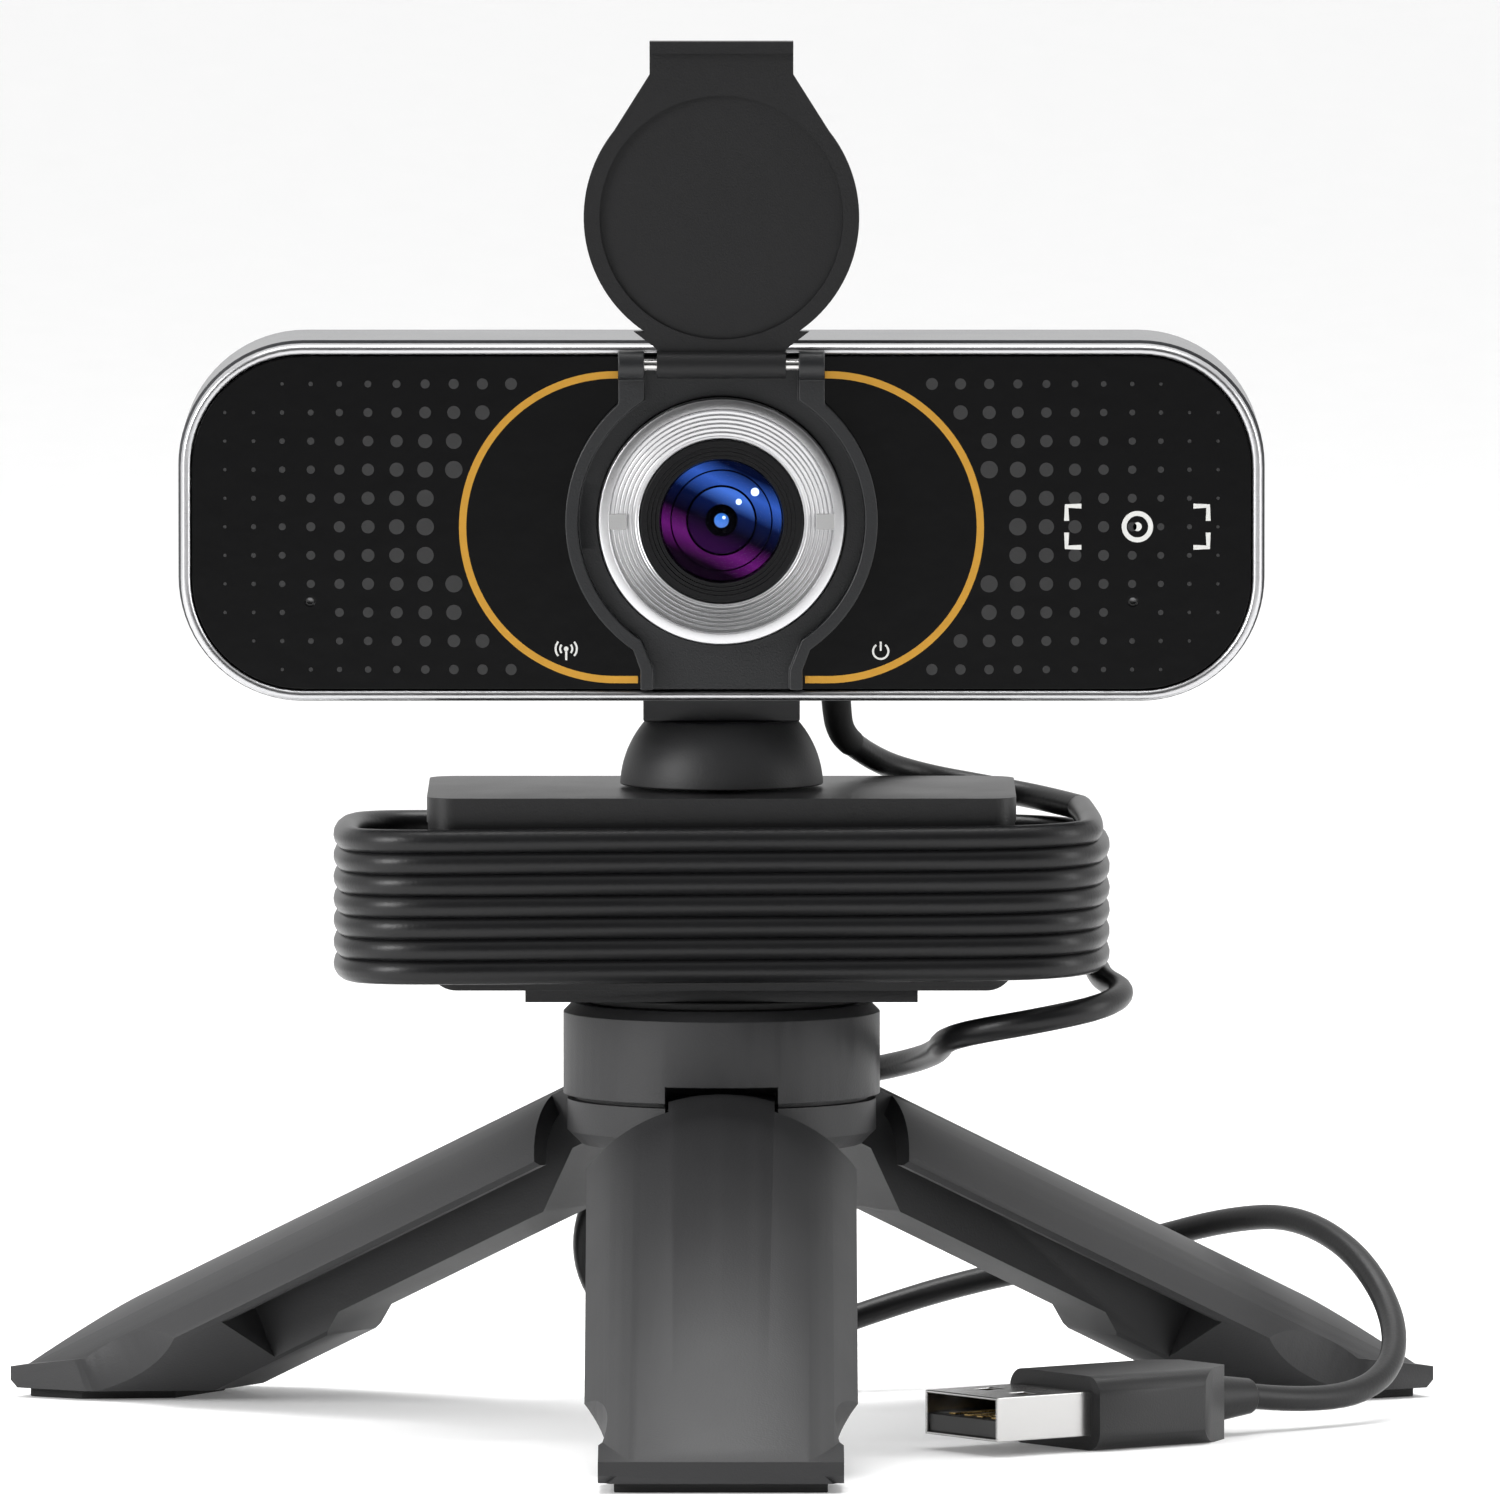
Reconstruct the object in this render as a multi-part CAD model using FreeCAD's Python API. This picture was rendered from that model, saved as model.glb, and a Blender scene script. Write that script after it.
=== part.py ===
"""Webcam on a folding table tripod, with its lead wound round the folded screen clip.

Millimetres, +Z up, floor at Z = 0. X runs across the webcam, which looks along -Y.
Shapes are drawn with the tripod's axis on the Z axis and moved by AXIS_Y when they are
written, so that the stand's footprint is centred on the origin.
"""
import FreeCAD, Part
import math
import os

V = FreeCAD.Vector
X, Y, Z = V(1, 0, 0), V(0, 1, 0), V(0, 0, 1)

# ---------------------------------------------------------------- driving sizes
# webcam body
BODY_W = 110.0            # width across the silver rim
BODY_H = 36.2             # height across the silver rim
BODY_CORNER_R = 12.4      # corner radius of the rim
BODY_DEPTH = 28.0         # rim front to the back of the shell
BODY_FRONT = 15.0         # rim front, ahead of the neck's axis
RIM_W = 1.0               # visible width of the silver rim
RIM_DEPTH = 4.0
SHELL_WALL = 1.8
SHELL_BACK_R = 5.0        # rounding of the shell's back edge
PANEL_T = 2.0
PANEL_RECESS = 0.3        # panel face behind the rim's front
FRAME_T = 1.2             # inner frame's floor
CASE_SCREW_INSET = 8.0    # case screws in from the body's ends
CASE_SCREW_DROP = 8.5     # case screws in from its top and bottom
CASE_SCREW_HEAD_R = 1.9
# lens group
LENS_RISE = 0.26          # lens axis above the middle of the body
LENS_RING_OD = 25.1
LENS_RING_ID = 16.85
LENS_RING_PROUD = 2.3     # ring front ahead of the rim's front
RING_GROOVES = 6
BEZEL_BORE = 12.7         # clear opening in the black lens bezel
BARREL_OD = 14.0
BOARD_DROP = 8.1          # bottom edge of the board below the lens axis
GLASS_T = 1.6
MIC_SPACING = 83.7
MIC_DROP = 8.0            # microphone holes below the middle of the body
MIC_D = 0.9
MIC_CAN_R = 2.0
LED_X, LED_RISE, LED_R = 16.2, 4.9, 0.9
# lens bracket that carries the privacy cover
BRACKET_R = 15.9
RAIL_W = 1.3
RAIL_PROUD = 1.9
NECK_W_TOP = 21.0         # width over the two upper rails
NECK_W_BOTTOM = 16.5
UPPER_RAIL_W = 2.65
# privacy cover
COVER_R = 14.0
COVER_T = 1.8
COVER_REACH = 15.0        # hinge axis to the middle of the disc
COVER_TIP = 32.9          # hinge axis to the tip of the finger tab
COVER_TAB_W = 14.6
COVER_LUG_W = 13.1
COVER_LIP_PROUD = 0.7     # finger lip on the tip of the tab
COVER_PIN_D = 1.2
HINGE_ABOVE_MID = 16.2    # cover hinge above the middle of the body
HINGE_AHEAD = 2.5         # cover hinge ahead of the rim's front
# neck
NECK_BLOCK_W = 16.0
NECK_BLOCK_T = 9.0
TILT_PIN_D = 2.5
TILT_PIN_RISE = 4.0       # tilt axis above the underside of the body
TILT_ANGLE = 15.0
DOME_R = 10.4
DOME_TOP = 7.0            # flat on the dome above its centre
# screen clip, folded flat
CLIP_W = 60.0
CLIP_DEPTH = 33.0
CLIP_PLATE_T = 2.6
CLIP_LIP_H = 19.6
CLIP_LIP_T = 2.2
LIP_PAD_T = 0.8
CLIP_CORNER_R = 3.0
CLIP_LEG_W = 44.0
CLIP_LEG_T = 6.0
CLIP_FOOT_T = 7.0
CLIP_PIN_D = 2.0
# tripod head and hub
HEAD_D = 32.4
HEAD_H = 9.4
HEAD_CHAMFER = 1.0
HEAD_PAD_T = 0.8
HUB_INSET = 0.4           # hub in from the head's side
HUB_H = 4.6
HUB_TAPER = 1.4
HEAD_GROOVE = 0.5
STUD_D = 6.35             # quarter-inch camera thread
STUD_PROUD = 4.6          # thread above the head pad
BOLT_HEAD_R = 5.0
# legs
LEG_HINGE_R = 12.0        # hinge axis to the tripod's axis
LEG_HINGE_Z = 32.0        # hinge axis above the floor
LEG_OPEN = 65.0           # degrees from folded to standing
LEG_REACH = 77.8          # tripod axis to the nose of a foot
LEG_SKIN_T = 2.0
LEG_SECTOR = 58.6         # half angle of the leg's curved skin
LEG_LUG_W = 10.8
LEG_EYE_R = 2.6
LEG_PIN_D = 2.4
LEG_SKIN_START = 4.0      # top of the skin below the hinge axis
FOOT_HALF_W = 12.3
FOOT_NOSE_H = 3.2
SCOOP_R = 15.0
SCOOP_AT = 59.5           # middle of the side scoops below the hinge axis
SCOOP_HALF_W = 11.4       # half width left between the scoops
FOOT_PAD_T = 1.0
# lead
CORD_D = 2.6
GLAND_R = 2.6             # gland where the lead leaves the shell
TURNS = 7
TURN_PITCH = 2.55
COIL_W = 76.8             # across the middle of the cord
COIL_DEPTH = 38.0
COIL_CORNER_R = 11.0
# plug
PLUG_SHELL_W, PLUG_SHELL_H, PLUG_SHELL_T = 12.0, 4.5, 0.3
PLUG_SHELL_L = 12.0       # bare length of the steel shell
PLUG_BODY_W, PLUG_BODY_H, PLUG_BODY_L = 15.0, 7.6, 19.0
PLUG_NECK_L = 6.0
PLUG_TURN = 217.0         # heading of the plug, degrees from +X
# clearances
RUN = 0.05                # radial running clearance of a pin
GAP = 0.35                # gap between pieces that move past each other
SEAT = 0.1                # gap round a piece that is dropped into a pocket

# ---------------------------------------------------------------- derived places
BACK_REACH = LEG_REACH * math.cos(math.radians(60)) + FOOT_HALF_W * math.sin(math.radians(60))
AXIS_Y = (LEG_REACH - BACK_REACH) / 2

HUB_D = HEAD_D - 2 * HUB_INSET
HUB_TOP = LEG_HINGE_Z + 1.4
HUB_BOTTOM = HUB_TOP - HUB_H
HEAD_BOTTOM = HUB_TOP
HEAD_TOP = HEAD_BOTTOM + HEAD_GROOVE + HEAD_H
PAD_TOP = HEAD_TOP + HEAD_PAD_T
CLIP_BOTTOM = PAD_TOP
LEG_FLAP_BOTTOM = CLIP_BOTTOM + CLIP_FOOT_T + 0.6
CLIP_TOP = CLIP_BOTTOM + 21.1
PLATE_BOTTOM = CLIP_TOP - CLIP_PLATE_T
DOME_Z = CLIP_TOP
NECK_BOTTOM = DOME_Z + DOME_TOP
BODY_BOTTOM = NECK_BOTTOM + 2.9
BODY_MID = BODY_BOTTOM + BODY_H / 2
TILT_Z = BODY_BOTTOM + TILT_PIN_RISE
LENS_Z = BODY_MID + LENS_RISE
RIM_FRONT = -BODY_FRONT
PANEL_FACE = RIM_FRONT + PANEL_RECESS
PANEL_BACK = PANEL_FACE + PANEL_T
RING_FRONT = RIM_FRONT - LENS_RING_PROUD
COVER_Y = RIM_FRONT - HINGE_AHEAD
COVER_Z = BODY_MID + HINGE_ABOVE_MID
SHELL_BACK = RIM_FRONT + BODY_DEPTH
SHELL_FRONT = RIM_FRONT + RIM_DEPTH
COIL_TOP = PLATE_BOTTOM + 0.3
COIL_BOTTOM = COIL_TOP - (TURNS - 1) * TURN_PITCH - CORD_D
CORD_EXIT = V(11.7, 8.6, BODY_BOTTOM)
CASE_SCREW_CORNERS = [(sx * (BODY_W / 2 - CASE_SCREW_INSET), BODY_MID + sz * (BODY_H / 2 - CASE_SCREW_DROP))
                      for sx in (-1, 1) for sz in (-1, 1)]
MICS = [V(s * MIC_SPACING / 2, PANEL_BACK, BODY_MID - MIC_DROP) for s in (-1, 1)]
LED = V(LED_X, PANEL_BACK, BODY_BOTTOM + LED_RISE)
CORD_R = CORD_D / 2

# The lead's hand-placed route: down from the webcam, round the back of the clip and into
# the top turn; then out of the bottom turn, under it and behind the hub, over the right leg and down
# to the plug.
BOOT_ROUTE = [(11.7, 8.6, 75.05), (11.7, 8.6, 73.2), (12.16, 10.12, 69.94), (13.28, 12.17, 68.92)]
LEAD_ROUTE = [(13.3, 12.2, 68.9), (15.6, 16.4, 66.8), (20.6, 20.6, 64.9), (27.4, 21.6, 63.6),
              (33.4, 18.4, 62.7), (36.8, 12.6, 62.2)]
TAIL_ROUTE = [(38.8, 2.6, 45.4), (41.4, -5.2, 44.6), (38.9, -12.3, 43.6), (32.0, -15.5, 42.4),
              (25.1, -12.7, 41.0), (22.6, -5.6, 39.6), (22.2, 3.6, 37.8), (19.4, 12.6, 36.0),
              (12.4, 20.2, 34.0), (2.6, 24.6, 31.4), (-6.8, 26.2, 27.4), (-13.4, 27.0, 21.4),
              (-14.6, 27.8, 13.4), (-9.6, 29.2, 6.8), (-1.4, 31.0, 4.4), (7.6, 33.2, 5.6),
              (16.6, 36.2, 8.6), (25.2, 40.6, 10.8), (34.6, 44.6, 12.4), (44.2, 45.2, 14.8),
              (52.4, 40.6, 17.4), (59.4, 33.4, 18.4),
              (65.6, 24.2, 15.4), (69.4, 13.8, 9.4), (68.6, 3.4, 4.4), (62.0, -5.4, 2.4),
              (53.8, -12.0, 3.8)]


# ---------------------------------------------------------------- shape helpers
def box(x0, x1, y0, y1, z0, z1):
    """Box between two corners."""
    return Part.makeBox(x1 - x0, y1 - y0, z1 - z0, V(x0, y0, z0))


def rod(radius, start, end):
    """Round bar between two points."""
    along = end - start
    return Part.makeCylinder(radius, along.Length, start, along)


def rounded_rect_wire(width, height, corner, y, z_mid):
    """Rounded rectangle standing in the plane Y = y."""
    hw, hh, k = width / 2, height / 2, corner * (1 - math.sqrt(0.5))
    points = []
    for sx, sz, first_flat in ((1, 1, False), (1, -1, True), (-1, -1, False), (-1, 1, True)):
        a = V(sx * (hw - corner), y, z_mid + sz * hh)
        m = V(sx * (hw - k), y, z_mid + sz * (hh - k))
        b = V(sx * hw, y, z_mid + sz * (hh - corner))
        points.append((b, m, a) if first_flat else (a, m, b))
    edges = []
    for i, (a, m, b) in enumerate(points):
        edges.append(Part.Arc(a, m, b).toShape())
        following = points[(i + 1) % 4][0]
        if (following - b).Length > 1e-6:
            edges.append(Part.LineSegment(b, following).toShape())
    return Part.Wire(edges)


def slab(width, height, corner, y0, y1, z_mid=BODY_MID):
    """Rounded rectangular slab between two planes of Y."""
    face = Part.Face(rounded_rect_wire(width, height, corner, y0, z_mid))
    return face.extrude(V(0, y1 - y0, 0))


def flat_slab(width, depth, corner, z0, z1, y_mid=0.0):
    """Rounded rectangular slab lying flat between two heights."""
    upright = slab(width, depth, corner, 0, z1 - z0, 0)
    upright.rotate(V(0, 0, 0), X, 90)
    upright.translate(V(0, y_mid, z0))
    return upright


def prism(outline, direction):
    """Straight-sided prism of a closed outline of points."""
    wire = Part.makePolygon(list(outline) + [outline[0]])
    return Part.Face(wire).extrude(direction)


def fuse(*shapes):
    """One solid from several that touch or overlap."""
    whole = shapes[0].fuse(list(shapes[1:])) if len(shapes) > 1 else shapes[0]
    return whole.removeSplitter()


def across(radius, half_length, y, z):
    """Round bar along X through (y, z)."""
    return rod(radius, V(-half_length, y, z), V(half_length, y, z))


def screw(at, direction, shank_r, length, head_r, head_h):
    """Pan-head screw: head on the outside of `at`, shank along `direction`."""
    shank = Part.makeCylinder(shank_r, length, at, direction)
    head = Part.makeCylinder(head_r, head_h, at - direction * head_h, direction)
    slot = Part.makeCylinder(head_r * 0.35, head_h * 0.5, at - direction * head_h, direction)
    return shank.fuse(head).cut(slot).removeSplitter()


def tube_along(points, radius):
    """Tube of straight runs joined by tangent arcs through the corners of a route."""
    pts = [V(*p) for p in points]
    edges, start, radii = [], pts[0], []
    for before, corner, after in zip(pts, pts[1:], pts[2:]):
        into, away = (before - corner), (after - corner)
        shorter = min(into.Length, away.Length)
        into.normalize()
        away.normalize()
        turn = math.pi - into.getAngle(away)
        reach = 0.45 * shorter
        bend = reach / math.tan(turn / 2)
        a, b = corner + into * reach, corner + away * reach
        towards = (into + away).normalize()
        middle = corner + towards * (bend / math.cos(turn / 2) - bend)
        edges.append(Part.LineSegment(start, a).toShape())
        edges.append(Part.Arc(a, middle, b).toShape())
        start = b
        radii.append(bend)
    edges.append(Part.LineSegment(start, pts[-1]).toShape())
    path = Part.Wire(edges)
    ring = Part.Wire(Part.makeCircle(radius, pts[0], pts[1] - pts[0]))
    tube = path.makePipeShell([ring], True, False)
    ideal = math.pi * radius ** 2 * path.Length
    print("route %d points, length %.1f, radii %s, volume ratio %.4f"
          % (len(pts), path.Length, " ".join("%.1f" % r for r in radii), tube.Volume / ideal))
    return tube


# ---------------------------------------------------------------- webcam body
def body_pieces():
    """Rim, front panel, rear shell and what fastens them."""
    inner_w, inner_h = BODY_W - 2 * RIM_W, BODY_H - 2 * RIM_W
    inner_r = BODY_CORNER_R - RIM_W
    rim = slab(BODY_W, BODY_H, BODY_CORNER_R, RIM_FRONT, SHELL_FRONT)
    rim = rim.cut(slab(inner_w, inner_h, inner_r, RIM_FRONT - 1, SHELL_FRONT + 1))
    ledge_w, ledge_h, ledge_r = inner_w - 3, inner_h - 3, inner_r - 1.5
    ledge = slab(inner_w, inner_h, inner_r, PANEL_BACK, SHELL_FRONT)
    ledge = ledge.cut(slab(ledge_w, ledge_h, ledge_r, PANEL_BACK - 1, SHELL_FRONT + 1))
    rim = fuse(rim, ledge)

    panel = slab(inner_w - 2 * SEAT, inner_h - 2 * SEAT, inner_r - SEAT, PANEL_FACE, PANEL_BACK)
    lens_hole = rod(LENS_RING_OD / 2 - 1.2, V(0, PANEL_FACE - 1, LENS_Z), V(0, PANEL_BACK + 1, LENS_Z))
    panel = panel.cut(lens_hole)
    for at in MICS:
        panel = panel.cut(rod(MIC_D / 2, at - Y * (PANEL_T + 1), at + Y))

    outer = slab(BODY_W + 0.6, BODY_H + 0.6, BODY_CORNER_R + 0.3, SHELL_FRONT, SHELL_BACK)
    back_edges = [e for e in outer.Edges
                  if all(abs(v.Point.y - SHELL_BACK) < 1e-6 for v in e.Vertexes)]
    outer = outer.makeFillet(SHELL_BACK_R, back_edges)
    wall = SHELL_WALL + 0.3
    hollow = slab(BODY_W - 2 * SHELL_WALL, BODY_H - 2 * SHELL_WALL, BODY_CORNER_R - SHELL_WALL,
                  SHELL_FRONT - 1, SHELL_BACK - wall)
    shell = outer.cut(hollow)
    cheek = 1.6
    pocket_half = NECK_BLOCK_W / 2 + GAP
    pocket_deep = NECK_BLOCK_T / 2 + TILT_PIN_RISE * math.tan(math.radians(TILT_ANGLE)) + 0.9
    pocket_top = TILT_Z + NECK_BLOCK_T / 2 + GAP
    housing = box(-pocket_half - cheek, pocket_half + cheek, -pocket_deep - cheek,
                  pocket_deep + cheek, BODY_BOTTOM - 0.3, pocket_top + 1.2)
    shell = fuse(shell, housing)
    shell = shell.cut(box(-pocket_half, pocket_half, -pocket_deep, pocket_deep,
                          BODY_BOTTOM - 1, pocket_top))
    shell = shell.cut(across(TILT_PIN_D / 2, pocket_half + cheek + 1, 0, TILT_Z))
    for sx, sz in CASE_SCREW_CORNERS:
        post = rod(3.0, V(sx, SHELL_FRONT + 0.2, sz), V(sx, SHELL_BACK - wall + 0.1, sz))
        shell = fuse(shell, post)
        shell = shell.cut(rod(0.9, V(sx, SHELL_FRONT, sz), V(sx, SHELL_FRONT + 9, sz)))
    shell = shell.cut(rod(GLAND_R + SEAT, CORD_EXIT - Z * 2, CORD_EXIT + Z * (SHELL_WALL + 0.6)))

    seat_y = SHELL_FRONT - FRAME_T / 2
    screws = Part.makeCompound([screw(V(sx, seat_y, sz), Y, 0.85, 8.0, CASE_SCREW_HEAD_R, 1.0)
                                for sx, sz in CASE_SCREW_CORNERS])
    frame = slab(ledge_w - 2 * SEAT, ledge_h - 2 * SEAT, ledge_r - SEAT, PANEL_BACK, SHELL_FRONT)
    frame = frame.cut(slab(ledge_w - 8, ledge_h - 7, ledge_r - 3, PANEL_BACK - 1, SHELL_FRONT - FRAME_T))
    frame = frame.cut(slab(58, ledge_h - 7, 4, PANEL_BACK - 1, SHELL_FRONT + 1))
    for sx, sz in CASE_SCREW_CORNERS:
        frame = frame.cut(rod(1.0, V(sx, PANEL_BACK - 1, sz), V(sx, SHELL_FRONT + 1, sz)))
        frame = frame.cut(rod(CASE_SCREW_HEAD_R + SEAT, V(sx, PANEL_BACK - 1, sz), V(sx, seat_y, sz)))
    for at in MICS:
        frame = frame.cut(rod(MIC_CAN_R + SEAT, at - Y, at + Y * 3))
    frame = frame.cut(rod(LED_R + SEAT, LED - Y, LED + Y * 3))
    return {"rim_frame": rim, "front_panel": panel, "rear_shell": shell,
            "inner_frame": frame, "case_screws": screws}


def bracket_outline(inset, y0, y1, top_half):
    """Bracket outline pulled in by `inset`: neck, round middle and narrow foot."""
    disc = rod(BRACKET_R - inset, V(0, y0, LENS_Z), V(0, y1, LENS_Z))
    top = COVER_Z + 0.55 - (0 if inset == 0 else -1)
    neck = box(-top_half, top_half, y0, y1, LENS_Z, top)
    foot_half = NECK_W_BOTTOM / 2 - inset
    foot_low = BODY_BOTTOM + RIM_W + 0.15 - (0 if inset == 0 else 1)
    knee = BODY_BOTTOM + RIM_W + 2.2
    shoulder_z = LENS_Z - (BRACKET_R - inset) * math.cos(math.radians(38))
    shoulder_x = (BRACKET_R - inset) * math.sin(math.radians(38))
    outline = [V(-foot_half, y0, foot_low), V(foot_half, y0, foot_low), V(foot_half, y0, knee),
               V(shoulder_x, y0, shoulder_z + 1.5), V(-shoulder_x, y0, shoulder_z + 1.5),
               V(-foot_half, y0, knee)]
    return fuse(disc, neck, prism(outline, V(0, y1 - y0, 0)))


def lens_pieces():
    """Bracket, machined ring, bezel, barrel with its glasses, sensor and boards."""
    rail_face = RIM_FRONT - RAIL_PROUD
    floor_face = PANEL_FACE - 0.6
    bracket = bracket_outline(0, rail_face, PANEL_FACE, NECK_W_TOP / 2)
    recess = bracket_outline(RAIL_W, rail_face - 1, floor_face, NECK_W_TOP / 2 - UPPER_RAIL_W)
    bracket = bracket.cut(recess)
    ear_r = COVER_PIN_D / 2 + 0.9
    ear_in, ear_out = NECK_W_TOP / 2 - UPPER_RAIL_W, NECK_W_TOP / 2
    for side in (-1, 1):
        ends = sorted((side * ear_in, side * ear_out))
        ear = rod(ear_r, V(ends[0], COVER_Y, COVER_Z), V(ends[1], COVER_Y, COVER_Z))
        root = box(ends[0], ends[1], COVER_Y, PANEL_FACE, COVER_Z - ear_r, COVER_Z + 0.55)
        bracket = fuse(bracket, ear, root)
    bracket = bracket.cut(across(COVER_PIN_D / 2, ear_out - 0.8, COVER_Y, COVER_Z))
    bracket = bracket.cut(box(-ear_in, ear_in, rail_face - 1, floor_face, COVER_Z - 3, COVER_Z + 9))
    hole_r = LENS_RING_OD / 2 + SEAT
    bracket = bracket.cut(rod(hole_r, V(0, rail_face - 1, LENS_Z), V(0, PANEL_FACE + 1, LENS_Z)))

    ring = rod(LENS_RING_OD / 2, V(0, RING_FRONT, LENS_Z), V(0, PANEL_FACE, LENS_Z))
    ring = ring.cut(rod(LENS_RING_ID / 2, V(0, RING_FRONT - 1, LENS_Z), V(0, PANEL_FACE + 1, LENS_Z)))
    band = (LENS_RING_OD - LENS_RING_ID) / 2
    for k in range(RING_GROOVES):
        r = LENS_RING_ID / 2 + band * (0.182 + k * 0.121)
        groove = rod(r + 0.12, V(0, RING_FRONT - 0.1, LENS_Z), V(0, RING_FRONT + 0.12, LENS_Z))
        groove = groove.cut(rod(r - 0.12, V(0, RING_FRONT - 1, LENS_Z), V(0, RING_FRONT + 1, LENS_Z)))
        ring = ring.cut(groove)
    tab_in, tab_out = LENS_RING_ID / 2 + band * 0.267, LENS_RING_OD / 2 - band * 0.218
    tabs = []
    for side in (-1, 1):
        x0, x1 = sorted((side * tab_in, side * tab_out))
        window = box(x0, x1, RING_FRONT - 1, RING_FRONT + 0.5, LENS_Z - 0.9, LENS_Z + 0.9)
        ring = ring.cut(window)
        tabs.append(box(x0 + SEAT, x1 - SEAT, RING_FRONT + 0.05, RING_FRONT + 0.5,
                        LENS_Z - 0.8, LENS_Z + 0.8))
    bezel_face = RING_FRONT + 0.5
    bezel = rod(LENS_RING_ID / 2 - SEAT, V(0, bezel_face, LENS_Z), V(0, PANEL_BACK, LENS_Z))
    bezel = bezel.cut(rod(BEZEL_BORE / 2, V(0, bezel_face - 1, LENS_Z), V(0, PANEL_BACK + 1, LENS_Z)))
    glass_seat = bezel_face + 0.7
    front_glass = rod(BEZEL_BORE / 2 - SEAT, V(0, glass_seat, LENS_Z), V(0, glass_seat + GLASS_T, LENS_Z))
    barrel_front = PANEL_BACK + 0.1
    barrel_back = SHELL_BACK - 10.0
    barrel = rod(BARREL_OD / 2, V(0, barrel_front, LENS_Z), V(0, barrel_back, LENS_Z))
    barrel = barrel.cut(rod(BARREL_OD / 2 - 1.2, V(0, barrel_front - 1, LENS_Z),
                            V(0, barrel_back + 1, LENS_Z)))
    elements = []
    barrel_l = barrel_back - barrel_front
    for share, thick in ((0.04, 1.8), (0.28, 1.4), (0.51, 1.6)):
        y0 = barrel_front + share * barrel_l
        elements.append(rod(BARREL_OD / 2 - 1.2 - SEAT / 2, V(0, y0, LENS_Z), V(0, y0 + thick, LENS_Z)))
    board_low = LENS_Z - BOARD_DROP
    holder = box(-10, 10, barrel_back - 4.5, barrel_back, board_low, LENS_Z + BOARD_DROP)
    holder = holder.cut(rod(BARREL_OD / 2 + RUN, V(0, barrel_back - 6, LENS_Z), V(0, barrel_back + 1, LENS_Z)))
    board_y = barrel_back
    board = box(-24, 24, board_y, board_y + 1.2, board_low, LENS_Z + 9.5)
    sensor = box(-3.2, 3.2, board_y - 0.9, board_y, LENS_Z - 2.4, LENS_Z + 2.4)
    ir_filter = box(-4.2, 4.2, board_y - 1.6, board_y - 1.1, LENS_Z - 3.4, LENS_Z + 3.4)
    chip = box(12, 20, board_y + 1.2, board_y + 2.3, LENS_Z - 4, LENS_Z + 4)
    connector = box(7.5, 15.5, board_y + 1.2, board_y + 4.4, board_low + 0.2, LENS_Z - 4.2)
    board_screws = []
    for sx, sz in ((-1, -1), (1, -1), (-1, 1), (1, 1)):
        at = V(sx * 21.5, board_y + 1.2, LENS_Z + 0.7 + sz * 6.6)
        board = board.cut(rod(0.95, at - Y * 2, at + Y * 1))
        board_screws.append(screw(at, -Y, 0.9, 4.0, 1.7, 0.9))
    cans = [rod(MIC_CAN_R, at, at + Y * 1.5) for at in MICS]
    led = rod(LED_R, LED, LED + Y * 1.6)
    return {"lens_bracket": bracket, "lens_ring": ring, "ring_tabs": Part.makeCompound(tabs),
            "lens_bezel": bezel, "lens_front_glass": front_glass, "lens_barrel": barrel,
            "lens_elements": Part.makeCompound(elements), "lens_holder": holder,
            "main_board": board, "image_sensor": sensor, "ir_filter": ir_filter,
            "video_chip": chip, "board_connector": connector,
            "board_screws": Part.makeCompound(board_screws),
            "microphones": Part.makeCompound(cans), "power_led": led}


def cover_pieces():
    """Privacy cover standing open, and its hinge pin."""
    near = COVER_Y + 0.4
    far = near + COVER_T
    disc_z = COVER_Z + COVER_REACH
    disc = rod(COVER_R, V(0, near, disc_z), V(0, far, disc_z))
    tab_half, lug_half = COVER_TAB_W / 2, COVER_LUG_W / 2
    shoulder = math.radians(26)
    shoulder_x = COVER_R * math.cos(shoulder)
    shoulder_z = disc_z + COVER_R * math.sin(shoulder)
    tab_low = COVER_Z + COVER_TIP - 3.4
    tab = prism([V(-shoulder_x, near, shoulder_z), V(-tab_half, near, tab_low),
                 V(-tab_half, near, COVER_Z + COVER_TIP), V(tab_half, near, COVER_Z + COVER_TIP),
                 V(tab_half, near, tab_low), V(shoulder_x, near, shoulder_z)], V(0, COVER_T, 0))
    waist_z = COVER_Z + 3.4
    waist_x = 8.9
    waist = prism([V(-lug_half, near, COVER_Z), V(-lug_half, near, COVER_Z + 1.6),
                   V(-waist_x, near, waist_z), V(waist_x, near, waist_z),
                   V(lug_half, near, COVER_Z + 1.6), V(lug_half, near, COVER_Z)], V(0, COVER_T, 0))
    barrel_r = COVER_PIN_D / 2 + 0.75
    barrel = across(barrel_r, lug_half, COVER_Y, COVER_Z)
    web = box(-lug_half, lug_half, COVER_Y - 0.2, near + 0.8, COVER_Z, COVER_Z + barrel_r)
    cover = fuse(disc, tab, waist, barrel, web)
    dish = rod(COVER_R - 1.6, V(0, near - 0.1, disc_z), V(0, near + 0.5, disc_z))
    cover = cover.cut(dish)
    tip = COVER_Z + COVER_TIP
    lip = box(-tab_half, tab_half, near - COVER_LIP_PROUD, near, tip - 1.2, tip)
    cover = fuse(cover, lip)
    cover = cover.cut(across(COVER_PIN_D / 2 + RUN, lug_half + 1, COVER_Y, COVER_Z))
    pin = across(COVER_PIN_D / 2, NECK_W_TOP / 2 - 0.9, COVER_Y, COVER_Z)
    return {"privacy_cover": cover, "cover_pin": pin}


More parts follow.
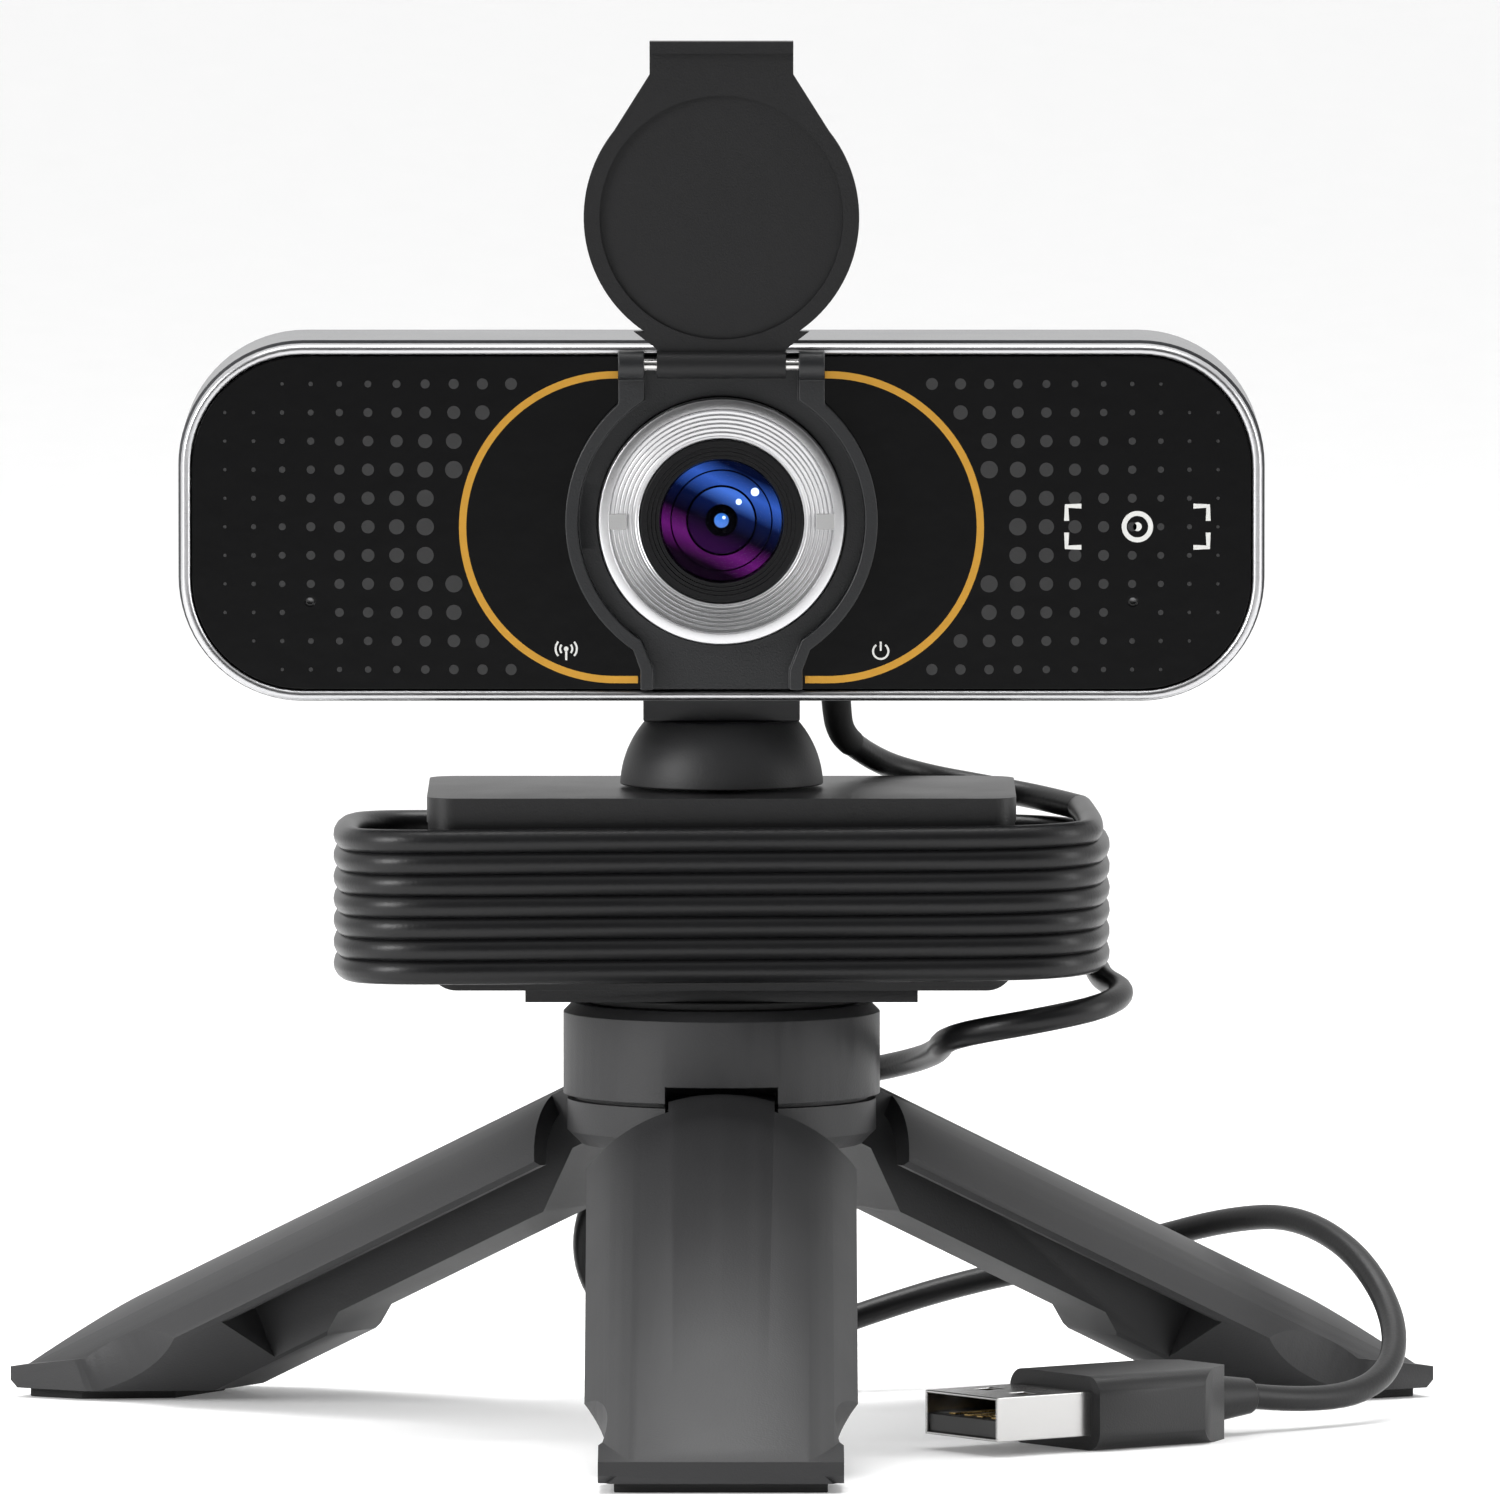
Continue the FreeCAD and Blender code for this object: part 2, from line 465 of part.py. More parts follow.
# ---------------------------------------------------------------- neck
def neck_pieces():
    """Tilt knuckle, dome and the screw that holds them to the clip."""
    half, t = NECK_BLOCK_W / 2, NECK_BLOCK_T / 2
    block = box(-half, half, -t, t, NECK_BOTTOM, TILT_Z)
    block = fuse(block, across(t, half, 0, TILT_Z))
    block = block.cut(across(TILT_PIN_D / 2 + RUN, half + 1, 0, TILT_Z))
    tilt_pin = across(TILT_PIN_D / 2, half + GAP + 1.2, 0, TILT_Z)
    ball = Part.makeSphere(DOME_R, V(0, 0, DOME_Z))
    keep = box(-DOME_R, DOME_R, -DOME_R, DOME_R, DOME_Z + GAP, NECK_BOTTOM)
    dome = ball.common(keep)
    bore = rod(1.6, V(0, 0, DOME_Z - 1), V(0, 0, NECK_BOTTOM + 2.5))
    dome, block = dome.cut(bore), block.cut(bore)
    shaft = rod(1.55, V(0, 0, PLATE_BOTTOM - 2.2), V(0, 0, NECK_BOTTOM + 2.4))
    head = rod(3.2, V(0, 0, PLATE_BOTTOM - 2.2), V(0, 0, PLATE_BOTTOM - 1.0))
    screw_piece = fuse(shaft, head)
    washer = rod(4.4, V(0, 0, PLATE_BOTTOM - 0.95), V(0, 0, PLATE_BOTTOM - GAP / 2))
    washer = washer.cut(rod(1.6, V(0, 0, PLATE_BOTTOM - 3), V(0, 0, PLATE_BOTTOM + 1)))
    return {"neck_block": block, "tilt_pin": tilt_pin, "neck_dome": dome,
            "swivel_screw": screw_piece, "swivel_washer": washer}


# ---------------------------------------------------------------- screen clip
def clip_pieces():
    """Clip plate with its front lip, folded leg and foot flap, pins, pads, thread insert."""
    front, back = -CLIP_DEPTH / 2, CLIP_DEPTH / 2
    plate = flat_slab(CLIP_W, CLIP_DEPTH, CLIP_CORNER_R, PLATE_BOTTOM, CLIP_TOP)
    lip_mid = CLIP_TOP - CLIP_LIP_H / 2
    lip = slab(CLIP_W, CLIP_LIP_H, CLIP_CORNER_R, front, front + CLIP_LIP_T, lip_mid)
    lip = lip.common(flat_slab(CLIP_W, CLIP_DEPTH, CLIP_CORNER_R, CLIP_BOTTOM, CLIP_TOP))
    lip = fuse(lip, box(-CLIP_W / 2 + CLIP_CORNER_R, CLIP_W / 2 - CLIP_CORNER_R, front,
                        front + CLIP_LIP_T, CLIP_TOP - 4, CLIP_TOP))
    plate = fuse(plate, lip)
    plate = plate.cut(rod(1.55 + RUN, V(0, 0, PLATE_BOTTOM - 1), V(0, 0, CLIP_TOP + 1)))

    knuckle_r = CLIP_PIN_D / 2 + 1.6
    hinge_y = back - knuckle_r
    hinge_z = LEG_FLAP_BOTTOM + CLIP_LEG_T - knuckle_r + 1.0
    ear_out = CLIP_LEG_W / 2 + 3.0
    for side in (-1, 1):
        x0, x1 = sorted((side * (CLIP_LEG_W / 2 + GAP), side * ear_out))
        ear = rod(knuckle_r, V(x0, hinge_y, hinge_z), V(x1, hinge_y, hinge_z))
        root = box(x0, x1, hinge_y - knuckle_r, back, hinge_z, PLATE_BOTTOM + 0.5)
        plate = fuse(plate, ear, root)
    plate = plate.cut(across(CLIP_PIN_D / 2, ear_out - 0.8, hinge_y, hinge_z))

    leg_front = front + CLIP_LIP_T + LIP_PAD_T + 0.6
    leg_low, leg_top = LEG_FLAP_BOTTOM, LEG_FLAP_BOTTOM + CLIP_LEG_T
    half = CLIP_LEG_W / 2
    leg = box(-half, half, leg_front, hinge_y, leg_low, leg_top)
    leg = fuse(leg, across(knuckle_r, half, hinge_y, hinge_z))
    leg = leg.cut(box(-half + 2.2, half - 2.2, leg_front + 2.2, hinge_y - knuckle_r - 0.8,
                      leg_low + 1.8, leg_top + 1))
    leg = leg.cut(across(CLIP_PIN_D / 2 + RUN, half + 1, hinge_y, hinge_z))
    foot_hinge_y = leg_front + 2.6
    foot_hinge_z = CLIP_BOTTOM + CLIP_FOOT_T - 1.2
    foot_back = back - 3.0
    foot_half = half - 2.0
    notch_half = half - 7.0
    foot = box(-foot_half, foot_half, foot_hinge_y - 2.2, foot_back, CLIP_BOTTOM,
               CLIP_BOTTOM + CLIP_FOOT_T)
    for side in (-1, 1):
        x0, x1 = sorted((side * notch_half, side * (foot_half + 1)))
        foot = foot.cut(box(x0, x1, foot_hinge_y - 3, foot_hinge_y + 2.8,
                            CLIP_BOTTOM + 2.6, CLIP_BOTTOM + CLIP_FOOT_T + 1))
        x0, x1 = sorted((side * (notch_half + GAP), side * foot_half))
        lug = box(x0, x1, foot_hinge_y - 2.1, foot_hinge_y + 2.3, foot_hinge_z - 1.6, leg_low + 0.5)
        leg = fuse(leg, lug)
    leg = leg.cut(across(CLIP_PIN_D / 2, foot_half - 0.8, foot_hinge_y, foot_hinge_z))
    foot = foot.cut(across(CLIP_PIN_D / 2 + RUN, foot_half + 1, foot_hinge_y, foot_hinge_z))
    insert_top = CLIP_BOTTOM + STUD_PROUD + 1.2
    insert_r = STUD_D / 2 + 1.6
    foot = foot.cut(rod(insert_r, V(0, 0, CLIP_BOTTOM - 1), V(0, 0, insert_top)))
    insert = rod(insert_r, V(0, 0, CLIP_BOTTOM), V(0, 0, insert_top))
    insert = insert.cut(rod(STUD_D / 2, V(0, 0, CLIP_BOTTOM - 1), V(0, 0, insert_top - 0.6)))
    lip_pad = slab(CLIP_W - 12, CLIP_LIP_H - 9, 2.0, front + CLIP_LIP_T,
                   front + CLIP_LIP_T + LIP_PAD_T, lip_mid - 2.5)
    pins = Part.makeCompound([across(CLIP_PIN_D / 2, ear_out - 0.9, hinge_y, hinge_z),
                              across(CLIP_PIN_D / 2, foot_half - 0.9, foot_hinge_y, foot_hinge_z)])
    return {"clip_plate": plate, "clip_leg": leg, "clip_foot": foot, "clip_pins": pins,
            "clip_lip_pad": lip_pad, "thread_insert": insert}




# ---------------------------------------------------------------- tripod
def leg_heading(name):
    """Turn about Z that points a leg drawn along +Y its own way."""
    return {"front": 180.0, "right": -60.0, "left": 60.0}[name]


def stand_leg(shape, name):
    """Open a leg drawn folded at the origin and put it on its hinge."""
    done = shape.copy()
    done.rotate(V(0, 0, 0), X, LEG_OPEN)
    done.translate(V(0, LEG_HINGE_R, LEG_HINGE_Z))
    done.rotate(V(0, 0, 0), Z, leg_heading(name))
    return done


def side_scoop(side_x):
    """Round cutter that narrows a leg above its foot, in the frame the leg is drawn in."""
    at = V(side_x * (SCOOP_HALF_W + SCOOP_R), 0, -SCOOP_AT)
    return rod(SCOOP_R, at - Y * 30, at + Y * 30)


def leg_pieces():
    """One leg, drawn folded: hinge axis on X at the origin, pointing down, skin on +Y."""
    skin_r = HEAD_D / 2
    length = 82.0
    top = -LEG_SKIN_START
    apex = -LEG_HINGE_R
    side = math.radians(LEG_SECTOR)
    wedge_w, wedge_y = 40 * math.sin(side), apex + 40 * math.cos(side)
    wedge = prism([V(0, apex + 0.25, 1), V(wedge_w, wedge_y, 1), V(-wedge_w, wedge_y, 1)],
                  V(0, 0, -length - 2))
    envelope = wedge.common(rod(skin_r, V(0, apex, 2), V(0, apex, -length)))

    skin = envelope.cut(rod(skin_r - LEG_SKIN_T, V(0, apex, 3), V(0, apex, -length - 1)))
    edge_y = apex + skin_r * math.cos(side) - 0.4
    skin = skin.common(box(-20, 20, edge_y, 20, -length, top))
    lug_half = LEG_LUG_W / 2
    tongue = envelope.common(box(-lug_half, lug_half, 2.2, 6, top - 0.5, -2.0))

    rib_low, block_low = -7.2, -8.8
    rib_step = HUB_BOTTOM - LEG_HINGE_Z - 0.8
    rib = prism([V(-lug_half, -LEG_EYE_R, 0), V(-lug_half, -LEG_EYE_R, rib_step),
                 V(-lug_half, rib_low, -10.0),
                 V(-lug_half, rib_low, -37.0), V(-lug_half, block_low, -39.5),
                 V(-lug_half, block_low, -72), V(-lug_half, 3.0, -72), V(-lug_half, 3.0, -2.0),
                 V(-lug_half, LEG_EYE_R, 0)], V(LEG_LUG_W, 0, 0))
    eye = across(LEG_EYE_R, lug_half, 0, 0)
    block = envelope.common(box(-20, 20, -12, 20, -length, -46.0))
    block = block.common(box(-20, 20, block_low, 20, -length, 0))
    leg = fuse(skin, tongue, rib.common(envelope.fuse(box(-9, 9, -9, 9, -9, 3))), eye, block)

    for s in (-1, 1):
        leg = leg.cut(side_scoop(s))
        x0, x1 = sorted((s * FOOT_HALF_W, s * 30))
        leg = leg.cut(box(x0, x1, -30, 30, -length - 5, -SCOOP_AT))
    standing = leg.copy()
    standing.rotate(V(0, 0, 0), X, LEG_OPEN)
    standing.translate(V(0, LEG_HINGE_R, LEG_HINGE_Z))
    standing = standing.common(box(-40, 40, 0, LEG_REACH, FOOT_PAD_T, 60))
    ramp_start = LEG_REACH - 11.0
    crown_y = ramp_start
    s, c = math.sin(math.radians(LEG_OPEN)), math.cos(math.radians(LEG_OPEN))
    crown_v = skin_r + apex
    crown_u = (ramp_start - LEG_HINGE_R - crown_v * c) / s
    crown_z = LEG_HINGE_Z - crown_u * c + crown_v * s
    top_cut = prism([V(-30, crown_y, crown_z), V(-30, LEG_REACH, FOOT_NOSE_H),
                     V(-30, LEG_REACH + 1, FOOT_NOSE_H), V(-30, LEG_REACH + 1, 30),
                     V(-30, crown_y, 30)], V(60, 0, 0))
    standing = standing.cut(top_cut)
    nose_block = prism([V(-FOOT_HALF_W, LEG_REACH - 9, FOOT_PAD_T),
                        V(-FOOT_HALF_W, LEG_REACH - 0.8, FOOT_PAD_T),
                        V(-FOOT_HALF_W, LEG_REACH, FOOT_PAD_T + 0.8),
                        V(-FOOT_HALF_W, LEG_REACH, FOOT_NOSE_H),
                        V(-FOOT_HALF_W, LEG_REACH - 9, FOOT_NOSE_H + 1.2)],
                       V(2 * FOOT_HALF_W, 0, 0))
    for side_x in (-1, 1):
        scoop = side_scoop(side_x)
        scoop.rotate(V(0, 0, 0), X, LEG_OPEN)
        scoop.translate(V(0, LEG_HINGE_R, LEG_HINGE_Z))
        nose_block = nose_block.cut(scoop)
    standing = fuse(standing, nose_block)
    pad_back = LEG_REACH - 15.5
    pad = box(-FOOT_HALF_W + 1.6, FOOT_HALF_W - 1.6, pad_back, LEG_REACH - 1.4, 0, FOOT_PAD_T)
    pad = pad.common(standing_shadow(pad_back))
    leg_done = unstand(standing)
    pad_done = unstand(pad)
    leg_done = leg_done.cut(across(LEG_PIN_D / 2 + RUN, lug_half + 1, 0, 0))
    pin = across(LEG_PIN_D / 2, lug_half + 2.4, 0, 0)
    return leg_done, pad_done, pin


def standing_shadow(pad_back):
    """Plan of the sole, narrowing towards its back end."""
    back_half = 5.0
    return prism([V(-FOOT_HALF_W, LEG_REACH, -1), V(FOOT_HALF_W, LEG_REACH, -1),
                  V(FOOT_HALF_W, LEG_REACH - 5.5, -1), V(back_half, pad_back, -1),
                  V(-back_half, pad_back, -1), V(-FOOT_HALF_W, LEG_REACH - 5.5, -1)], V(0, 0, 9))


def unstand(shape):
    """Fold a standing leg piece back to the frame it is drawn in."""
    done = shape.copy()
    done.translate(V(0, -LEG_HINGE_R, -LEG_HINGE_Z))
    done.rotate(V(0, 0, 0), X, -LEG_OPEN)
    return done


def tripod_pieces():
    """Head, pad, hub, centre bolt, three legs with their pins and soles."""
    head = rod(HEAD_D / 2, V(0, 0, HEAD_BOTTOM + HEAD_GROOVE), V(0, 0, HEAD_TOP))
    top_edges = [e for e in head.Edges if abs(e.CenterOfMass.z - HEAD_TOP) < 1e-6]
    head = head.makeChamfer(HEAD_CHAMFER, top_edges)
    head = fuse(head, rod(HUB_D / 2 - 0.8, V(0, 0, HEAD_BOTTOM), V(0, 0, HEAD_TOP - 2)))
    hub = rod(HUB_D / 2, V(0, 0, HUB_BOTTOM + HUB_TAPER), V(0, 0, HUB_TOP))
    cone = Part.makeCone(HUB_D / 2 - HUB_TAPER, HUB_D / 2, HUB_TAPER, V(0, 0, HUB_BOTTOM))
    hub = fuse(hub, cone)
    slot_half = LEG_LUG_W / 2 + GAP
    slot_back = LEG_HINGE_R - LEG_EYE_R - GAP
    for name in ("front", "left", "right"):
        notch = box(-slot_half, slot_half, slot_back, 30, HUB_BOTTOM - 1, LEG_HINGE_Z + 3.6)
        notch.rotate(V(0, 0, 0), Z, leg_heading(name))
        hub, head = hub.cut(notch), head.cut(notch)
        bore = across(LEG_PIN_D / 2, slot_half + 2.1, LEG_HINGE_R, LEG_HINGE_Z)
        bore.rotate(V(0, 0, 0), Z, leg_heading(name))
        hub, head = hub.cut(bore), head.cut(bore)
    bolt = rod(STUD_D / 2, V(0, 0, HUB_BOTTOM + 1.5), V(0, 0, PAD_TOP + STUD_PROUD))
    bolt_head = rod(BOLT_HEAD_R, V(0, 0, HUB_BOTTOM + 0.2), V(0, 0, HUB_BOTTOM + 2.6))
    hex_key = rod(1.9, V(0, 0, HUB_BOTTOM), V(0, 0, HUB_BOTTOM + 1.6))
    bolt = fuse(bolt, bolt_head).cut(hex_key)
    hub = hub.cut(rod(STUD_D / 2 + SEAT, V(0, 0, HUB_BOTTOM - 1), V(0, 0, HUB_TOP + 1)))
    hub = hub.cut(rod(BOLT_HEAD_R + SEAT, V(0, 0, HUB_BOTTOM - 1), V(0, 0, HUB_BOTTOM + 2.6)))
    head = head.cut(rod(STUD_D / 2 + SEAT, V(0, 0, HEAD_BOTTOM - 1), V(0, 0, HEAD_TOP + 1)))
    pad = rod(HEAD_D / 2 - 2.2, V(0, 0, HEAD_TOP), V(0, 0, PAD_TOP))
    pad = pad.cut(rod(STUD_D / 2 + SEAT, V(0, 0, HEAD_TOP - 1), V(0, 0, PAD_TOP + 1)))
    pieces = {"tripod_head": head, "head_pad": pad, "tripod_hub": hub, "stud_bolt": bolt}
    leg, sole, pin = leg_pieces()
    for name in ("front", "left", "right"):
        pieces["leg_" + name] = stand_leg(leg, name)
        pieces["foot_pad_" + name] = stand_leg(sole, name)
    pieces["leg_pins"] = Part.makeCompound([stand_leg(pin, n) for n in ("front", "left", "right")])
    return pieces


# ---------------------------------------------------------------- lead and plug
def cord_pieces():
    """Gland, boot, lead, wound turns, tail and plug."""
    gland = rod(GLAND_R, CORD_EXIT, CORD_EXIT + Z * (SHELL_WALL + 0.5))
    collar = rod(GLAND_R + 1.0, CORD_EXIT + Z * (SHELL_WALL + 0.5), CORD_EXIT + Z * (SHELL_WALL + 1.7))
    collar = collar.common(box(10.2, 20, 0, SHELL_BACK - SHELL_WALL - 0.5, BODY_BOTTOM, BODY_MID))
    gland = fuse(gland, collar)
    boot = tube_along(BOOT_ROUTE, CORD_R + 0.25)
    lead = tube_along(LEAD_ROUTE, CORD_R)
    tail = tube_along(TAIL_ROUTE, CORD_R)
    coil = flat_slab(COIL_W + CORD_D, COIL_DEPTH + CORD_D, COIL_CORNER_R + CORD_R, COIL_BOTTOM, COIL_TOP)
    coil = coil.cut(flat_slab(COIL_W - CORD_D, COIL_DEPTH - CORD_D, COIL_CORNER_R - CORD_R,
                              COIL_BOTTOM - 1, COIL_TOP + 1))
    pieces = {"cable_gland": gland, "cord_boot": boot, "cord_lead": lead, "cord_coil": coil,
              "cord_tail": tail}
    pieces.update(plug_pieces())
    return pieces


def plug_pieces():
    """USB plug, drawn along +X from the cord's end and then laid on the floor."""
    z_mid = PLUG_BODY_H / 2
    relief_l = PLUG_NECK_L
    neck = Part.makeCone(CORD_R + 0.5, CORD_R + 1.3, relief_l, V(0, 0, z_mid), X)
    body = box(0, PLUG_BODY_L, -PLUG_BODY_W / 2, PLUG_BODY_W / 2, 0, PLUG_BODY_H)
    long_edges = [e for e in body.Edges if abs(e.tangentAt(e.FirstParameter).x) > 0.9]
    body = body.makeFillet(2.0, long_edges)
    shoulder = prism([V(-1, -PLUG_BODY_W, -1), V(-1, -CORD_R - 1.6, -1), V(5.5, -PLUG_BODY_W / 2, -1),
                      V(5.5, -PLUG_BODY_W, -1)], V(0, 0, 20))
    body = body.cut(shoulder)
    body = body.cut(shoulder.mirror(V(0, 0, 0), Y))
    body.translate(X * relief_l)
    face = relief_l + PLUG_BODY_L
    sunk = 6.0
    shell_low = z_mid - PLUG_SHELL_H / 2
    shell = box(face - sunk, face + PLUG_SHELL_L, -PLUG_SHELL_W / 2, PLUG_SHELL_W / 2,
                shell_low, shell_low + PLUG_SHELL_H)
    t = PLUG_SHELL_T
    inside = box(face - sunk + t, face + PLUG_SHELL_L + 1, -PLUG_SHELL_W / 2 + t,
                 PLUG_SHELL_W / 2 - t, shell_low + t, shell_low + PLUG_SHELL_H - t)
    pocket = box(face - sunk, face + 1, -PLUG_SHELL_W / 2, PLUG_SHELL_W / 2,
                 shell_low, shell_low + PLUG_SHELL_H)
    body = body.cut(pocket)
    shell = shell.cut(inside)
    for side in (-1, 1):
        y_mid = side * 2.9
        shell = shell.cut(box(face + 5.2, face + 7.4, y_mid - 1.25, y_mid + 1.25, -1, PLUG_BODY_H + 1))
    tongue_h = 1.8
    tongue = box(face - sunk + t, face + PLUG_SHELL_L - 0.4, -PLUG_SHELL_W / 2 + t,
                 PLUG_SHELL_W / 2 - t, shell_low + t, shell_low + t + tongue_h)
    contacts = [box(face - 1, face + PLUG_SHELL_L - 1.6, y - 0.5, y + 0.5,
                    shell_low + t + tongue_h, shell_low + t + tongue_h + 0.15)
                for y in (-3.5, -1.0, 1.0, 3.5)]
    pieces = {"plug_relief": neck, "plug_body": body, "plug_shell": shell, "plug_tongue": tongue,
              "plug_contacts": Part.makeCompound(contacts)}
    end = V(*TAIL_ROUTE[-1])
    for shape in pieces.values():
        shape.rotate(V(0, 0, 0), Z, PLUG_TURN)
        shape.translate(V(end.x, end.y, 0))
    return pieces


def main():
    os.makedirs("parts", exist_ok=True)
    pieces = {}
    for group in (body_pieces, lens_pieces, cover_pieces, neck_pieces, clip_pieces,
                  tripod_pieces, cord_pieces):
        pieces.update(group())
    for name, shape in pieces.items():
        shape.translate(V(0, AXIS_Y, 0))
        solids = shape.Solids
        if not solids or not all(s.isValid() and s.Volume > 0 for s in solids):
            raise RuntimeError("bad solid: " + name)
        shape.exportStep("parts/%s.step" % name)
    box_all = Part.makeCompound([s for n, s in pieces.items()
                                 if not n.startswith(("cord_", "plug_"))]).BoundBox
    print("nodes", len(pieces), "box", box_all)


main()
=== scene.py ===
"""Looks for a webcam on a folding table tripod, with its lead wound round the clip."""
import math

import bmesh
import bpy
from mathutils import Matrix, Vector


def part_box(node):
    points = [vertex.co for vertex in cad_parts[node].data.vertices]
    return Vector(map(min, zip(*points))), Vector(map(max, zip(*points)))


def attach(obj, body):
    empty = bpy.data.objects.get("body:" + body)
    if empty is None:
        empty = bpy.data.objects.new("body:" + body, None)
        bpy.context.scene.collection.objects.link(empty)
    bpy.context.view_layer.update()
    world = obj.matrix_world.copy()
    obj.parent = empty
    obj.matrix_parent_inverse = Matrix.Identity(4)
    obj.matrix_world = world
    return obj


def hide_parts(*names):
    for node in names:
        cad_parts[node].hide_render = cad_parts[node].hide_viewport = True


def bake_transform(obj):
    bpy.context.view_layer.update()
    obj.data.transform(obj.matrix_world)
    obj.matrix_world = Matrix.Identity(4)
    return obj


bl_info = {
    "name": "Webcam on tripod",
    "version": (1, 0, 0),
    "blender": (4, 5, 0),
    "location": "View3D > Sidebar > Webcam",
    "description": "Builds the finished looks of a webcam on a folding table tripod",
    "category": "Object",
}

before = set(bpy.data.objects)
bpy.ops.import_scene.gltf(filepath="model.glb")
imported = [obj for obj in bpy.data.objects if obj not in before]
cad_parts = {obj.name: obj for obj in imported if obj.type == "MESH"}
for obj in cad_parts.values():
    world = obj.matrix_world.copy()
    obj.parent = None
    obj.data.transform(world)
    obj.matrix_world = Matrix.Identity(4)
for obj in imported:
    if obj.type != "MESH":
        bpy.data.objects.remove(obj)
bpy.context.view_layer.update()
MM = 0.001


def middle(node):
    """Middle of a frame node's box."""
    low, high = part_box(node)
    return (Vector(low) + Vector(high)) / 2


def half_width(node):
    """Half the width of a frame node's box."""
    low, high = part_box(node)
    return (high[0] - low[0]) / 2


RIM_LOW, RIM_HIGH = (Vector(v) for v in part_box("rim_frame"))
PANEL_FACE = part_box("front_panel")[0][1]
PANEL_LOW, PANEL_HIGH = (Vector(v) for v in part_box("front_panel"))
BODY_MID = (RIM_LOW.z + RIM_HIGH.z) / 2
LENS = middle("lens_ring")
RING_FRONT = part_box("lens_ring")[0][1]
RING_R = half_width("lens_ring")
BEZEL_R = half_width("lens_bezel")
GLASS_R = half_width("lens_front_glass")
LENS_FRONT = Vector((LENS.x, RING_FRONT, LENS.z))
AXIS_Y = middle("tripod_head").y

# Print on the front panel
RING_HALF_W = 26.7 * MM
RING_HALF_H = 15.9 * MM
RING_DROP = 0.46 * MM
RING_LINE = 0.74 * MM
RING_GAP_HALF = 8.5 * MM
PANEL_CORNER = 11.3 * MM
INK_T = 0.03 * MM
LINE_T = 1.4 * INK_T
DOT_COLUMNS = range(-3, 11)
DOT_ROWS = 12
FIRST_COLUMN = 21.4 * MM
FIRST_ROW = 17.05 * MM
MIC_OUT = 41.85 * MM
MIC_DROP = 8.0 * MM

# Silver rim
RIM_CORNER = 12.4 * MM
RIM_WIDE = 1.0 * MM

# Machined ring round the lens
RIDGES = 6
LIP_IN = 1.2 * MM

# Stepped bezel, from the ring's front
BEZEL_FACE = 0.52 * MM
BEZEL_BACK = 3.0 * MM
BEZEL_STEPS = 3

# Rounded edges, in degrees
JOIN_BELOW = 0.8
BEVEL_ABOVE = 38
SHARP_ABOVE = 40

# Lead: routes in millimetres from the tripod's axis
TURNS = 7
COIL_CORNER = 11.0 * MM
COIL_BULGE = 1.07
COIL_WOBBLE = 0.12 * MM
BOOT_WALL = 0.25 * MM
BOOT_ROUTE = [(11.7, 8.6, 75.05), (11.7, 8.6, 73.2), (12.16, 10.12, 69.94), (13.28, 12.17, 68.92)]
LEAD_ROUTE = [(13.3, 12.2, 68.9), (15.6, 16.4, 66.8), (20.6, 20.6, 64.9), (27.4, 21.6, 63.6),
              (33.4, 18.4, 62.7), (36.8, 12.6, 62.2)]
TAIL_ROUTE = [(38.8, 2.6, 45.4), (41.4, -5.2, 44.6), (38.9, -12.3, 43.6), (32.0, -15.5, 42.4),
              (25.1, -12.7, 41.0), (22.6, -5.6, 39.6), (22.2, 3.6, 37.8), (19.4, 12.6, 36.0),
              (12.4, 20.2, 34.0), (2.6, 24.6, 31.4), (-6.8, 26.2, 27.4), (-13.4, 27.0, 21.4),
              (-14.6, 27.8, 13.4), (-9.6, 29.2, 6.8), (-1.4, 31.0, 4.4), (7.6, 33.2, 5.6),
              (16.6, 36.2, 8.6), (25.2, 40.6, 10.8), (34.6, 44.6, 12.4), (44.2, 45.2, 14.8),
              (52.4, 40.6, 17.4), (59.4, 33.4, 18.4), (65.6, 24.2, 15.4), (69.4, 13.8, 9.4),
              (68.6, 3.4, 4.4), (62.0, -5.4, 2.4), (53.8, -12.0, 3.8)]

# Studio camera
CAMERA_BACK = 3.055
CAMERA_HEIGHT = 0.283
TARGET = Vector((0.0029, AXIS_Y, 0.069))
VIEW_WIDTH = 0.153
SENSOR_MM = 36.0


